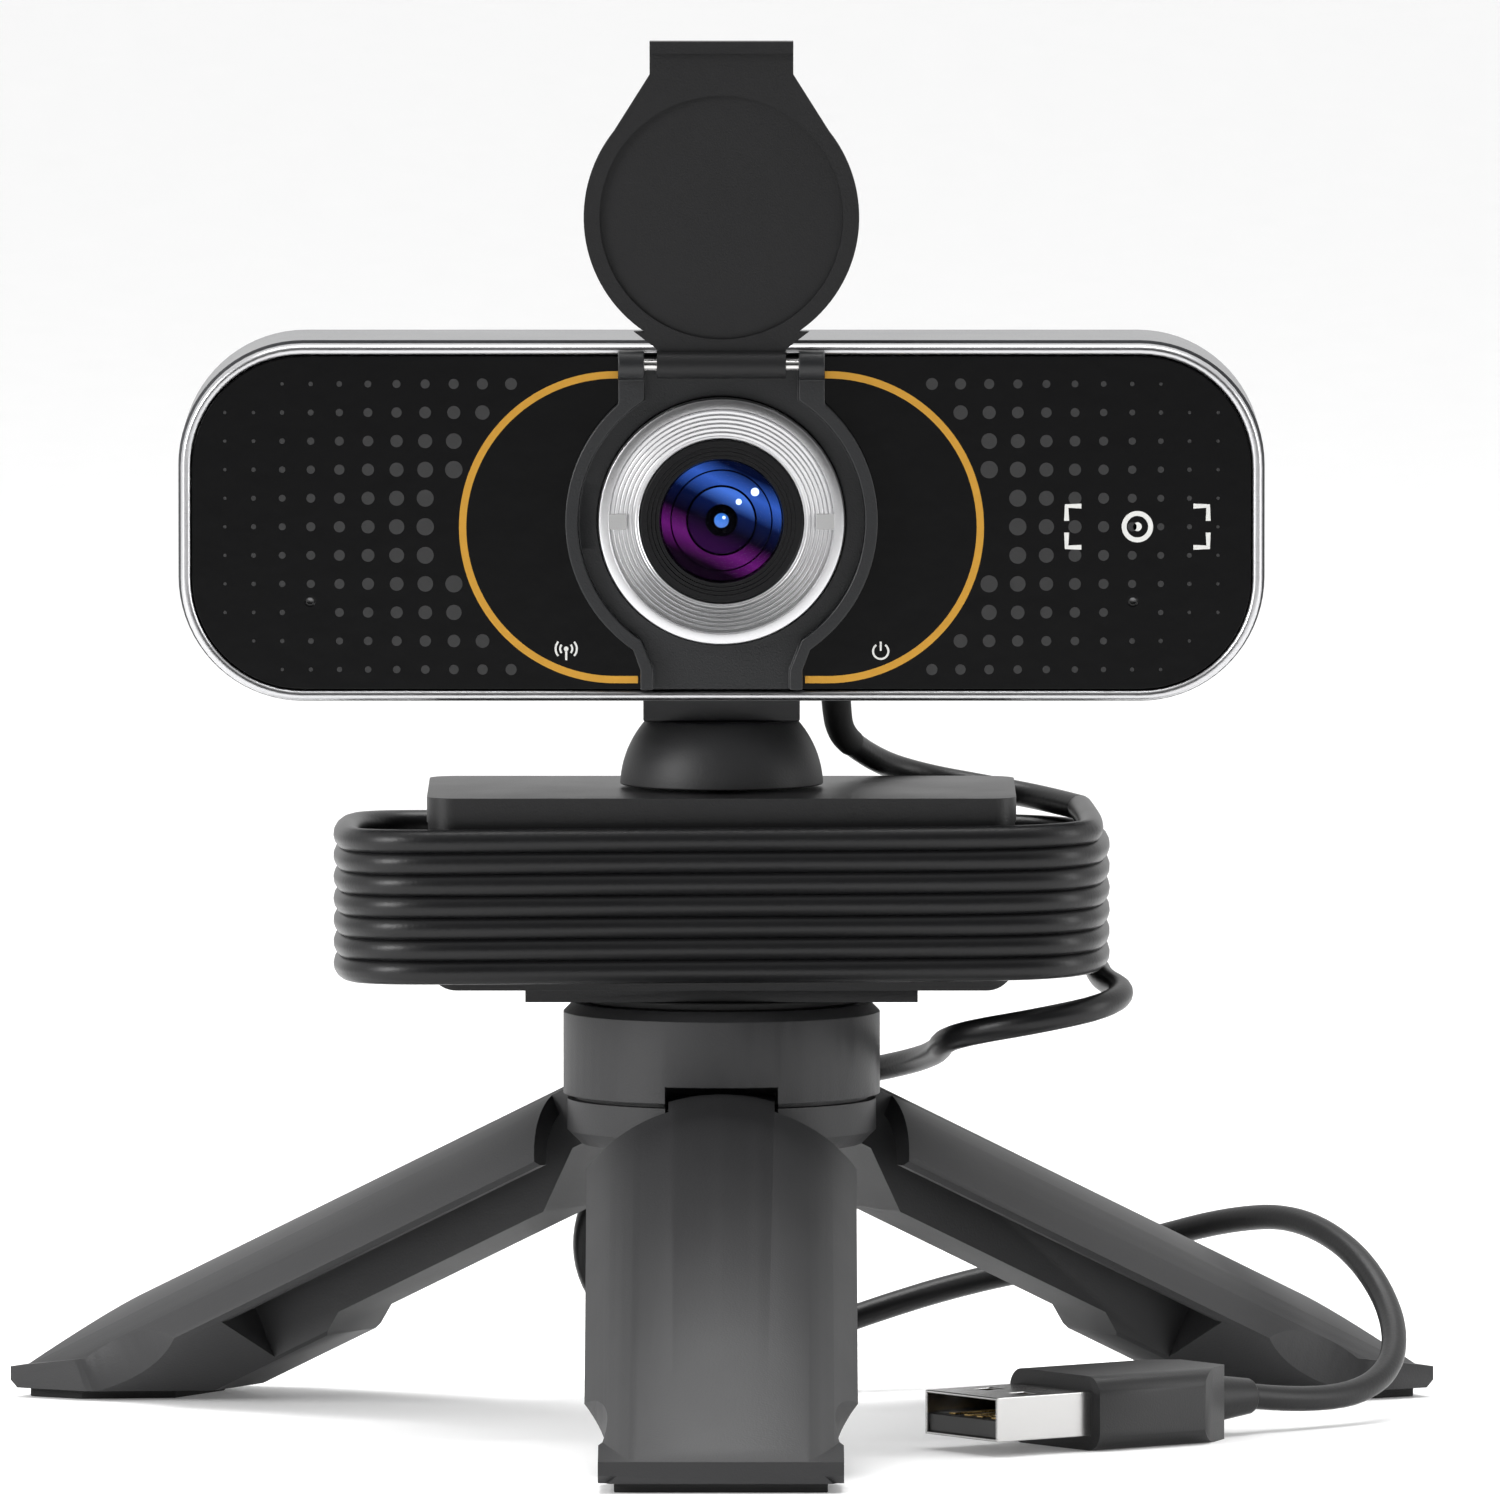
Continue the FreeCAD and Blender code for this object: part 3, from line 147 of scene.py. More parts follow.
# ------------------------------------------------------------------ sizes and colours
class WebcamLooks(bpy.types.PropertyGroup):
    """Sizes and colours a user may change."""
    grain: bpy.props.FloatProperty(
        name="Plastic grain", description="Depth of the moulded grain", default=0.00004,
        min=0.0, max=0.001, unit="LENGTH")
    edge_scale: bpy.props.FloatProperty(
        name="Edge rounding", description="Factor on the radius of moulded edges", default=1.0,
        min=0.0, max=4.0)
    cord_diameter: bpy.props.FloatProperty(
        name="Lead diameter", description="Outside diameter of the lead", default=0.0026,
        min=0.001, max=0.006, unit="LENGTH")
    dot_pitch: bpy.props.FloatProperty(
        name="Dot pitch", description="Spacing of the printed dots", default=0.00291,
        min=0.001, max=0.01, unit="LENGTH")
    dot_radius: bpy.props.FloatProperty(
        name="Dot radius", description="Radius of the largest printed dot", default=0.00094,
        min=0.0001, max=0.003, unit="LENGTH")
    gold: bpy.props.FloatVectorProperty(
        name="Ring print", description="Colour of the printed ring", subtype="COLOR",
        size=3, default=(0.68, 0.36, 0.06), min=0.0, max=1.0)
    black: bpy.props.FloatVectorProperty(
        name="Black plastic", description="Colour of the clip and cover", subtype="COLOR",
        size=3, default=(0.0065, 0.0065, 0.0070), min=0.0, max=1.0)
    grey: bpy.props.FloatVectorProperty(
        name="Tripod plastic", description="Colour of the tripod", subtype="COLOR",
        size=3, default=(0.021, 0.021, 0.022), min=0.0, max=1.0)
    silver: bpy.props.FloatVectorProperty(
        name="Silver", description="Colour of the rim and the lens ring", subtype="COLOR",
        size=3, default=(0.52, 0.52, 0.53), min=0.0, max=1.0)


def looks():
    """The user's settings."""
    return bpy.context.scene.webcam_looks


# ------------------------------------------------------------------ shared effects
def new_group(name, inputs, outputs):
    """A shader node group with named float or colour sockets."""
    group = bpy.data.node_groups.new(name, "ShaderNodeTree")
    for label, kind, value in inputs:
        socket = group.interface.new_socket(label, in_out="INPUT", socket_type=kind)
        socket.default_value = value
    for label, kind in outputs:
        group.interface.new_socket(label, in_out="OUTPUT", socket_type=kind)
    return group, group.nodes.new("NodeGroupInput"), group.nodes.new("NodeGroupOutput")


def math_node(tree, operation, a, b):
    """A math node with each input linked or set."""
    node = tree.nodes.new("ShaderNodeMath")
    node.operation = operation
    for i, value in enumerate((a, b)):
        if isinstance(value, (int, float)):
            node.inputs[i].default_value = value
        else:
            tree.links.new(value, node.inputs[i])
    return node.outputs[0]


def noise_node(tree, coordinates, scale, detail):
    """A noise texture's value."""
    node = tree.nodes.new("ShaderNodeTexNoise")
    node.inputs["Detail"].default_value = detail
    tree.links.new(coordinates, node.inputs["Vector"])
    if isinstance(scale, (int, float)):
        node.inputs["Scale"].default_value = scale
    else:
        tree.links.new(scale, node.inputs["Scale"])
    return node.outputs["Fac"]


SURFACE_OUTPUTS = (("Colour", "NodeSocketColor"), ("Roughness", "NodeSocketFloat"),
                   ("Height", "NodeSocketFloat"))


def moulded_grain():
    """Group: fine grain height, uneven sheen and slow colour drift of moulded plastic."""
    if "moulded_grain" in bpy.data.node_groups:
        return bpy.data.node_groups["moulded_grain"]
    group, given, out = new_group(
        "moulded_grain",
        [("Colour", "NodeSocketColor", (0.1, 0.1, 0.1, 1)), ("Roughness", "NodeSocketFloat", 0.5),
         ("Grain Scale", "NodeSocketFloat", 5000.0), ("Variation", "NodeSocketFloat", 0.12)],
        SURFACE_OUTPUTS)
    place = group.nodes.new("ShaderNodeTexCoord").outputs["Object"]
    fine = noise_node(group, place, given.outputs["Grain Scale"], 2.0)
    slow = noise_node(group, place, 90.0, 3.0)
    drift = math_node(group, "MULTIPLY", math_node(group, "SUBTRACT", slow, 0.5),
                      given.outputs["Variation"])
    rough = math_node(group, "ADD", given.outputs["Roughness"], drift)
    dark = group.nodes.new("ShaderNodeHueSaturation")
    group.links.new(math_node(group, "ADD", math_node(group, "MULTIPLY", drift, 1.6), 1.0),
                    dark.inputs["Value"])
    group.links.new(given.outputs["Colour"], dark.inputs["Color"])
    group.links.new(dark.outputs["Color"], out.inputs["Colour"])
    group.links.new(rough, out.inputs["Roughness"])
    group.links.new(fine, out.inputs["Height"])
    return group


def faint_scratches():
    """Group: long fine lines that vary roughness and height, as on brushed metal."""
    if "faint_scratches" in bpy.data.node_groups:
        return bpy.data.node_groups["faint_scratches"]
    group, given, out = new_group(
        "faint_scratches",
        [("Colour", "NodeSocketColor", (0.6, 0.6, 0.6, 1)), ("Roughness", "NodeSocketFloat", 0.3),
         ("Stretch", "NodeSocketVector", (1, 1, 1)), ("Strength", "NodeSocketFloat", 0.12)],
        SURFACE_OUTPUTS)
    place = group.nodes.new("ShaderNodeTexCoord").outputs["Object"]
    scaled = group.nodes.new("ShaderNodeVectorMath")
    scaled.operation = "MULTIPLY"
    group.links.new(place, scaled.inputs[0])
    group.links.new(given.outputs["Stretch"], scaled.inputs[1])
    lines = noise_node(group, scaled.outputs[0], 1.0, 2.0)
    change = math_node(group, "MULTIPLY", math_node(group, "SUBTRACT", lines, 0.5),
                       given.outputs["Strength"])
    group.links.new(math_node(group, "ADD", given.outputs["Roughness"], change),
                    out.inputs["Roughness"])
    shaded = group.nodes.new("ShaderNodeHueSaturation")
    group.links.new(given.outputs["Colour"], shaded.inputs["Color"])
    group.links.new(math_node(group, "ADD", math_node(group, "MULTIPLY", lines, 0.1), 0.9),
                    shaded.inputs["Value"])
    group.links.new(shaded.outputs["Color"], out.inputs["Colour"])
    group.links.new(lines, out.inputs["Height"])
    return group


def start_material(name):
    """A new material with its shader, ready for nodes."""
    made = bpy.data.materials.new(name)
    made.use_nodes = True
    tree = made.node_tree
    shader = tree.nodes["Principled BSDF"]
    return made, tree, shader


def add_bump(tree, shader, height, distance, strength):
    """Bump from a height, in metres."""
    bump = tree.nodes.new("ShaderNodeBump")
    bump.inputs["Strength"].default_value = strength
    bump.inputs["Distance"].default_value = distance
    tree.links.new(height, bump.inputs["Height"])
    tree.links.new(bump.outputs["Normal"], shader.inputs["Normal"])


def plastic(name, colour, roughness, grain_scale=5200.0, variation=0.12, coat=0.0, specular=0.5):
    """Moulded plastic with a fine grain."""
    if name in bpy.data.materials:
        return bpy.data.materials[name]
    made, tree, shader = start_material(name)
    node = tree.nodes.new("ShaderNodeGroup")
    node.node_tree = moulded_grain()
    node.inputs["Colour"].default_value = (*colour, 1)
    node.inputs["Roughness"].default_value = roughness
    node.inputs["Grain Scale"].default_value = grain_scale
    node.inputs["Variation"].default_value = variation
    tree.links.new(node.outputs["Colour"], shader.inputs["Base Color"])
    tree.links.new(node.outputs["Roughness"], shader.inputs["Roughness"])
    shader.inputs["Specular IOR Level"].default_value = specular
    shader.inputs["Coat Weight"].default_value = coat
    shader.inputs["Coat Roughness"].default_value = 0.08
    add_bump(tree, shader, node.outputs["Height"], looks().grain, 0.55)
    return made


def metal(name, colour, roughness, stretch=(400, 6000, 6000), strength=0.14):
    """Brushed or turned metal."""
    if name in bpy.data.materials:
        return bpy.data.materials[name]
    made, tree, shader = start_material(name)
    node = tree.nodes.new("ShaderNodeGroup")
    node.node_tree = faint_scratches()
    node.inputs["Roughness"].default_value = roughness
    node.inputs["Stretch"].default_value = stretch
    node.inputs["Strength"].default_value = strength
    node.inputs["Colour"].default_value = (*colour, 1)
    tree.links.new(node.outputs["Colour"], shader.inputs["Base Color"])
    tree.links.new(node.outputs["Roughness"], shader.inputs["Roughness"])
    shader.inputs["Metallic"].default_value = 1.0
    add_bump(tree, shader, node.outputs["Height"], 0.000012, 0.5)
    return made


def black_plastic():
    return plastic("black_moulded_plastic", looks().black, 0.42, specular=0.35)


def cover_plastic():
    return plastic("cover_satin_plastic", (0.0070, 0.0070, 0.0075), 0.5, specular=0.28)


def tripod_plastic():
    return plastic("tripod_grained_plastic", looks().grey, 0.52, 4200.0, 0.14, specular=0.38)


def bracket_plastic():
    return plastic("bracket_satin_plastic", (0.012, 0.0125, 0.0135), 0.38, specular=0.35)


def shell_paint():
    return plastic("shell_satin_paint", (0.055, 0.056, 0.060), 0.34, 7000.0, 0.08, 0.15)


def rubber():
    return plastic("matt_rubber", (0.010, 0.010, 0.010), 0.75, 3000.0, 0.1)


def jacket():
    return plastic("lead_jacket", (0.0050, 0.0050, 0.0055), 0.38, 2600.0, 0.10, specular=0.3)


def silver():
    return metal("brushed_silver", looks().silver, 0.30)


def turned_silver():
    return metal("turned_silver", (0.60, 0.60, 0.61), 0.30, (5000, 900, 5000), 0.10)


def steel():
    return metal("bright_steel", (0.62, 0.61, 0.60), 0.22)


def plated_steel():
    return metal("plated_sheet", (0.45, 0.445, 0.44), 0.24, (900, 5000, 5000), 0.12)


def brass():
    return metal("turned_brass", (0.72, 0.50, 0.20), 0.28)


def gloss_acrylic():
    """Deep black polished acrylic."""
    return plastic("gloss_black_acrylic", (0.0016, 0.0016, 0.0018), 0.10, 300.0, 0.02, 0.0, 0.12)


def print_ink(name, colour, roughness=0.35, glow=0.0):
    """Flat printed ink with slight mottling; with glow it also gives off light, used for the
    painted highlights and reflection in the lens and for the evenly bright floor.
    """
    made = plastic("ink_" + name, colour, roughness, 9000.0, 0.06)
    if glow:
        shader = made.node_tree.nodes["Principled BSDF"]
        shader.inputs["Emission Color"].default_value = (*colour, 1)
        shader.inputs["Emission Strength"].default_value = glow
    return made


# ------------------------------------------------------------------ mesh helpers
def piece(name, mesh, body, material, replaced=()):
    """Make an object of a mesh, finish it and put it on a body, or leave it without one."""
    made = bpy.data.objects.new(name, mesh)
    bpy.context.scene.collection.objects.link(made)
    made.data.materials.clear()
    made.data.materials.append(material)
    if body:
        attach(made, body)
    if replaced:
        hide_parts(*replaced)
    return made


def mesh_of(name, build, smooth_angle=35.0):
    """A mesh filled by build(bm)."""
    bm = bmesh.new()
    build(bm)
    bmesh.ops.recalc_face_normals(bm, faces=bm.faces)
    mesh = bpy.data.meshes.new(name)
    bm.to_mesh(mesh)
    bm.free()
    shade(mesh, smooth_angle)
    return mesh


def shade(mesh, angle):
    """Smooth shading with crisp edges past an angle."""
    mesh.shade_smooth()
    mesh.set_sharp_from_angle(angle=math.radians(angle))


def softened(node, body, material, width, segments=2):
    """The frame node's form with its edges rounded as a mould leaves them."""
    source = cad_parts[node]
    bm = bmesh.new()
    bm.from_mesh(source.data)
    bm.transform(source.matrix_world)
    bmesh.ops.remove_doubles(bm, verts=bm.verts, dist=0.000004)
    bmesh.ops.dissolve_limit(bm, angle_limit=math.radians(JOIN_BELOW),
                              verts=bm.verts, edges=bm.edges)
    mesh = bpy.data.meshes.new(node + "_soft")
    bm.to_mesh(mesh)
    bm.free()
    made = piece(node + "_moulded", mesh, body, material, (node,))
    bevel = made.modifiers.new("rounded_edges", "BEVEL")
    bevel.width = width * looks().edge_scale
    bevel.segments = segments
    bevel.limit_method = "ANGLE"
    bevel.angle_limit = math.radians(BEVEL_ABOVE)
    bevel.use_clamp_overlap = True
    bevel.harden_normals = True
    shade(made.data, SHARP_ABOVE)
    return made


def join_rings(bm, rings, closed=False):
    """Skin between rings of equal length, and from the last to the first if closed."""
    for a, b in zip(rings, rings[1:] + (rings[:1] if closed else [])):
        for i in range(len(a)):
            j = (i + 1) % len(a)
            bm.faces.new((a[i], a[j], b[j], b[i]))


def join_corners(bm, rows, closed=False):
    """Skin a bar along rows of four corners, with its ends shut unless it closes on itself."""
    for a, b in zip(rows, rows[1:] + (rows[:1] if closed else [])):
        for i, j in ((0, 2), (2, 3), (3, 1), (1, 0)):
            bm.faces.new((a[i], a[j], b[j], b[i]))
    if not closed:
        for end in (rows[0], rows[-1]):
            bm.faces.new((end[0], end[2], end[3], end[1]))


def turned(bm, profile, centre, steps=96, closed=False):
    """Spin a profile of (radius, depth) points about the Y axis through centre."""
    rings = []
    for radius, along in profile:
        angles = (2 * math.pi * i / steps for i in range(steps))
        rings.append([bm.verts.new(centre + Vector((radius * math.cos(a), along,
                                                    radius * math.sin(a)))) for a in angles])
    join_rings(bm, rings, closed)
    return rings


def turned_solid(bm, profile, centre, steps=96):
    """Spin a profile and shut both ends."""
    rings = turned(bm, profile, centre, steps)
    for ring in (rings[0], rings[-1]):
        bm.faces.new(ring)


def rounded_outline(width, height, corner, steps=16):
    """Points of a rounded rectangle about the origin, as (x, z)."""
    points = []
    for quarter, (sx, sz) in enumerate(((1, 1), (-1, 1), (-1, -1), (1, -1))):
        for i in range(steps + 1):
            a = math.pi / 2 * (quarter + i / steps)
            points.append((sx * (width / 2 - corner) + corner * math.cos(a),
                           sz * (height / 2 - corner) + corner * math.sin(a)))
    return points


# ------------------------------------------------------------------ webcam pieces
class WEBCAM_OT_body(bpy.types.Operator):
    """Rim, front panel, rear shell and gland"""
    bl_idname = "webcam.body"
    bl_label = "Webcam body"

    def execute(self, context):
        build_rim()
        softened("front_panel", "camera", gloss_acrylic(), 0.00015)
        softened("rear_shell", "camera", shell_paint(), 0.0003)
        softened("cable_gland", "camera", rubber(), 0.0002)
        return {"FINISHED"}


def build_rim():
    """Silver rim with a rounded front edge."""
    width, height = RIM_HIGH.x - RIM_LOW.x, RIM_HIGH.z - RIM_LOW.z
    depth = RIM_HIGH.y - RIM_LOW.y
    profile = [(0.0, depth), (0.0, 0.5 * MM), (0.12 * MM, 0.16 * MM), (0.4 * MM, 0.0),
               (0.72 * MM, 0.04 * MM), (0.95 * MM, 0.24 * MM), (RIM_WIDE, 0.5 * MM),
               (RIM_WIDE, depth)]

    def build(bm):
        rings = []
        for inset, back in profile:
            outline = rounded_outline(width - 2 * inset, height - 2 * inset, RIM_CORNER - inset)
            rings.append([bm.verts.new((x, RIM_LOW.y + back, BODY_MID + z)) for x, z in outline])
        join_rings(bm, rings, closed=True)

    piece("silver_rim", mesh_of("silver_rim", build, 50), "camera", silver(),
          ("rim_frame",))


class WEBCAM_OT_panel_print(bpy.types.Operator):
    """Printed dots, ring and marks on the front panel"""
    bl_idname = "webcam.panel_print"
    bl_label = "Panel print"

    def execute(self, context):
        build_dots()
        build_printed_ring()
        build_marks()
        build_mics()
        return {"FINISHED"}


def outside_ring(x, z):
    """Distance outside the printed ring, negative inside."""
    straight = RING_HALF_W - RING_HALF_H
    dx = max(abs(x) - straight, 0.0)
    return math.hypot(dx, z + RING_DROP) - RING_HALF_H


def inside_panel(x, z):
    """Distance inside the panel's edge."""
    half_w = (PANEL_HIGH.x - PANEL_LOW.x) / 2 - PANEL_CORNER
    half_h = (PANEL_HIGH.z - PANEL_LOW.z) / 2 - PANEL_CORNER
    dx, dz = max(abs(x) - half_w, 0.0), max(abs(z) - half_h, 0.0)
    return PANEL_CORNER - math.hypot(dx, dz)


def disc(bm, x, z, radius, steps=20):
    """Thin printed disc standing just off the panel."""
    angles = (2 * math.pi * i / steps for i in range(steps))
    front = [bm.verts.new((x + radius * math.cos(a), PANEL_FACE - INK_T,
                           z + radius * math.sin(a))) for a in angles]
    back = [bm.verts.new(v.co + Vector((0, INK_T, 0))) for v in front]
    bm.faces.new(front)
    bm.faces.new(back)
    join_rings(bm, [front, back])


def build_dots():
    """Grid of dots that shrink away from the printed ring."""
    pitch, largest = looks().dot_pitch, looks().dot_radius
    mics = [middle("microphones").x + s * MIC_OUT for s in (-1, 1)]

    def build(bm):
        for side in (-1, 1):
            for column in DOT_COLUMNS:
                x = side * (FIRST_COLUMN + column * pitch)
                for row in range(DOT_ROWS):
                    z = FIRST_ROW - row * pitch
                    gap = outside_ring(x, z)
                    if gap < 1.5 * MM or inside_panel(x, z) < 1.6 * MM:
                        continue
                    if min(math.hypot(x - m, z + MIC_DROP) for m in mics) < 1.3 * MM:
                        continue
                    fade = max(0.0, 1.0 - max(gap - 2.0 * MM, 0) / (26 * MM))
                    level = max(0.0, 1.0 - (abs(z) / (24 * MM)) ** 2)
                    disc(bm, x, BODY_MID + z, largest * max(0.18, fade * level))

    piece("panel_dots", mesh_of("panel_dots", build), "camera",
          print_ink("dots", (0.011, 0.011, 0.0115), 0.5))


def build_printed_ring():
    """Gold stadium line round the lens, left open where the lens bracket covers it."""
    straight, steps = RING_HALF_W - RING_HALF_H, 64

    def build(bm):
        for side in (-1, 1):
            points = [(RING_GAP_HALF, RING_HALF_H, 0, 1)]
            for i in range(steps + 1):
                a = math.pi / 2 - math.pi * i / steps
                points.append((straight + RING_HALF_H * math.cos(a), RING_HALF_H * math.sin(a),
                               math.cos(a), math.sin(a)))
            points.append((RING_GAP_HALF, -RING_HALF_H, 0, -1))
            rows = []
            for x, z, nx, nz in points:
                inner = (x - nx * RING_LINE, z - nz * RING_LINE)
                rows.append([bm.verts.new((side * px, PANEL_FACE + dy, BODY_MID - RING_DROP + pz))
                             for px, pz in ((x, z), inner) for dy in (-LINE_T, 0.0)])
            join_corners(bm, rows)

    made = metal("ring_print_gold", looks().gold, 0.38, (900, 900, 900), 0.06)
    piece("printed_ring", mesh_of("printed_ring", build), "camera", made)


def stroke(bm, points, width, closed=False):
    """Printed line of even width through (x, z) points on the panel."""
    count = len(points)
    rows = []
    for i, (x, z) in enumerate(points):
        before = points[i - 1] if i or closed else points[i]
        after = points[(i + 1) % count] if i < count - 1 or closed else points[i]
        along = Vector((after[0] - before[0], after[1] - before[1])).normalized()
        side = Vector((-along.y, along.x)) * width / 2
        rows.append([bm.verts.new((x + s * side.x, PANEL_FACE + dy, z + s * side.y))
                     for s in (-1, 1) for dy in (-LINE_T, 0.0)])
    join_corners(bm, rows, closed)


def arc_points(cx, cz, radius, start, end, steps=16):
    """Points on an arc, angles in degrees."""
    angles = (math.radians(start + (end - start) * i / steps) for i in range(steps + 1))
    return [(cx + radius * math.cos(a), cz + radius * math.sin(a)) for a in angles]


def build_marks():
    """Generic marks: a signal mark, a power mark and a picture-frame mark."""
    low = BODY_MID - 13.1 * MM

    def small(bm):
        x = -15.8 * MM
        disc(bm, x, low + 0.25 * MM, 0.24 * MM)
        stroke(bm, [(x, low), (x, low - 0.9 * MM)], 0.22 * MM)
        for radius in (0.62, 1.08):
            for mid in (0, 180):
                arc = arc_points(x, low + 0.25 * MM, radius * MM, mid - 42, mid + 42)
                stroke(bm, arc, 0.2 * MM)
        x = 16.2 * MM
        stroke(bm, arc_points(x, low, 0.78 * MM, 125, 415, 28), 0.2 * MM)
        stroke(bm, [(x, low + 0.05 * MM), (x, low + 0.98 * MM)], 0.2 * MM)

    def frame_mark(bm):
        cx, cz = 42.3 * MM, BODY_MID - 0.4 * MM
        half_w, half_h, arm = 7.2 * MM, 2.1 * MM, 1.5 * MM
        for sx in (-1, 1):
            for sz in (-1, 1):
                side, edge = cx + sx * half_w, cz + sz * half_h
                stroke(bm, [(cx + sx * (half_w - arm), edge), (side, edge),
                            (side, cz + sz * (half_h - arm))], 0.5 * MM)
        stroke(bm, arc_points(cx, cz, 1.35 * MM, 0, 345, 36), 0.5 * MM, closed=True)
        disc(bm, cx, cz, 0.45 * MM)

    white = print_ink("white", (0.62, 0.62, 0.60))
    piece("panel_marks", mesh_of("panel_marks", small), "camera", white)
    piece("picture_mark", mesh_of("picture_mark", frame_mark), "camera", white)


def build_mics():
    """Fine collar inside each microphone hole."""
    def build(bm):
        for side in (-1, 1):
            centre = Vector((side * MIC_OUT, 0, BODY_MID - MIC_DROP))
            turned(bm, [(0.43 * MM, PANEL_FACE + 0.6 * MM), (0.43 * MM, PANEL_FACE + 0.05 * MM),
                        (0.34 * MM, PANEL_FACE + 0.05 * MM), (0.34 * MM, PANEL_FACE + 0.6 * MM)],
                   centre, steps=24, closed=True)

    piece("mic_collars", mesh_of("mic_collars", build), "camera", rubber())


class WEBCAM_OT_lens(bpy.types.Operator):
    """Lens bracket, ring and its tabs, bezel, coated glass, pupil, and the painted reflections and
    highlights in the lens
    """
    bl_idname = "webcam.lens"
    bl_label = "Lens"

    def execute(self, context):
        softened("lens_bracket", "camera", bracket_plastic(), 0.00016)
        build_lens_ring()
        build_bezel()
        build_glass()
        softened("ring_tabs", "camera", print_ink("tabs", (0.30, 0.30, 0.30), 0.4),
                 0.00008)
        return {"FINISHED"}


def build_lens_ring():
    """Machined ring: outer lip and stepped ridges falling to the bore."""
    outer, inner = RING_R, BEZEL_R + 0.1 * MM
    back = PANEL_FACE - RING_FRONT
    profile = [(outer, back), (outer, 0.35 * MM), (outer - 0.12 * MM, 0.1 * MM),
               (outer - 0.35 * MM, 0.0), (outer - 1.05 * MM, 0.0), (outer - 1.15 * MM, 0.10 * MM)]
    step = (outer - LIP_IN - inner - 0.25 * MM) / RIDGES
    for k in range(RIDGES):
        r = outer - LIP_IN - k * step
        deep = 0.10 * MM + 0.03 * MM * k
        profile += [(r, deep + 0.10 * MM), (r - 0.12 * MM, deep),
                    (r - step + 0.10 * MM, deep + 0.03 * MM),
                    (r - step + 0.02 * MM, deep + 0.10 * MM)]
    profile += [(inner + 0.1 * MM, 0.36 * MM), (inner, 0.46 * MM), (inner, back)]

    def build(bm):
        turned(bm, profile, LENS_FRONT, steps=160, closed=True)

    piece("machined_ring", mesh_of("machined_ring", build, 24), "camera", turned_silver(),
          ("lens_ring",))


def build_bezel():
    """Black bezel with fine steps that fall to the glass."""
    outer, face = BEZEL_R, BEZEL_FACE
    profile = [(outer, BEZEL_BACK), (outer, face + 0.1 * MM), (outer - 0.15 * MM, face),
               (outer - 0.75 * MM, face)]
    for k in range(BEZEL_STEPS):
        r = outer - 0.75 * MM - k * 0.42 * MM
        deep = face + 0.16 * MM * (k + 1)
        profile += [(r - 0.04 * MM, deep), (r - 0.40 * MM, deep)]
    profile += [(GLASS_R, face + 0.8 * MM), (GLASS_R, BEZEL_BACK)]

    def build(bm):
        turned(bm, profile, LENS_FRONT, steps=128, closed=True)

    black = plastic("bezel_black", (0.0030, 0.0030, 0.0035), 0.32, 6000.0, specular=0.2)
    piece("stepped_bezel", mesh_of("stepped_bezel", build, 24), "camera", black,
          ("lens_bezel",))


def coated_glass_material():
    """Clear coated glass."""
    made, tree, shader = start_material("coated_lens_glass")
    shader.inputs["Base Color"].default_value = (0.93, 0.93, 1.0, 1)
    shader.inputs["Roughness"].default_value = 0.0
    shader.inputs["Transmission Weight"].default_value = 1.0
    shader.inputs["IOR"].default_value = 1.06
    return made


def painted_lens_reflection(name, stops):
    """Painted reflection of the lens coating: a faint glow over a black base, its colour changing
    with height and sideways place across the lens.
    """
    made, tree, shader = start_material(name)
    place = tree.nodes.new("ShaderNodeTexCoord").outputs["Object"]
    split = tree.nodes.new("ShaderNodeSeparateXYZ")
    tree.links.new(place, split.inputs[0])
    across = math_node(tree, "SUBTRACT", split.outputs["X"], LENS.x)
    right = math_node(tree, "MULTIPLY", across, 0.22 / GLASS_R)
    above = math_node(tree, "SUBTRACT", split.outputs["Z"], LENS.z)
    up = math_node(tree, "MULTIPLY", above, 0.45 / GLASS_R)
    ramp = tree.nodes.new("ShaderNodeValToRGB")
    both = math_node(tree, "ADD", up, right)
    tree.links.new(math_node(tree, "ADD", both, 0.5), ramp.inputs["Fac"])
    for position, colour in stops:
        stop = ramp.color_ramp.elements.new(position)
        stop.color = (*colour, 1)
    ramp.color_ramp.elements.remove(ramp.color_ramp.elements[0])
    ramp.color_ramp.elements.remove(ramp.color_ramp.elements[-1])
    tree.links.new(ramp.outputs["Color"], shader.inputs["Emission Color"])
    shader.inputs["Emission Strength"].default_value = 0.75
    shader.inputs["Base Color"].default_value = (0.001, 0.001, 0.001, 1)
    shader.inputs["Specular IOR Level"].default_value = 0.0
    return made


def lens_disc(name, profile, material, replaced=()):
    """A closed turned piece on the lens axis from (radius, depth) pairs in millimetres."""
    def build(bm):
        turned_solid(bm, [(r * MM, y * MM) for r, y in profile], LENS_FRONT)

    piece(name, mesh_of(name, build, 30), "camera", material, replaced)


def lens_hoop(name, outer, inner, front, back, material):
    """A flat hoop on the lens axis, sizes in millimetres."""
    corners = ((outer, back), (outer, front), (inner, front), (inner, back))

    def build(bm):
        turned(bm, [(r * MM, y * MM) for r, y in corners], LENS_FRONT, closed=True)

    piece(name, mesh_of(name, build, 24), "camera", material)


def dome(edge, low, rise, rows):
    """Profile of a dome from its edge to near its middle, in millimetres."""
    shares = [1 - i / rows for i in range(rows)]
    return [(edge * s, low - rise * (1 - s ** 2)) for s in shares]


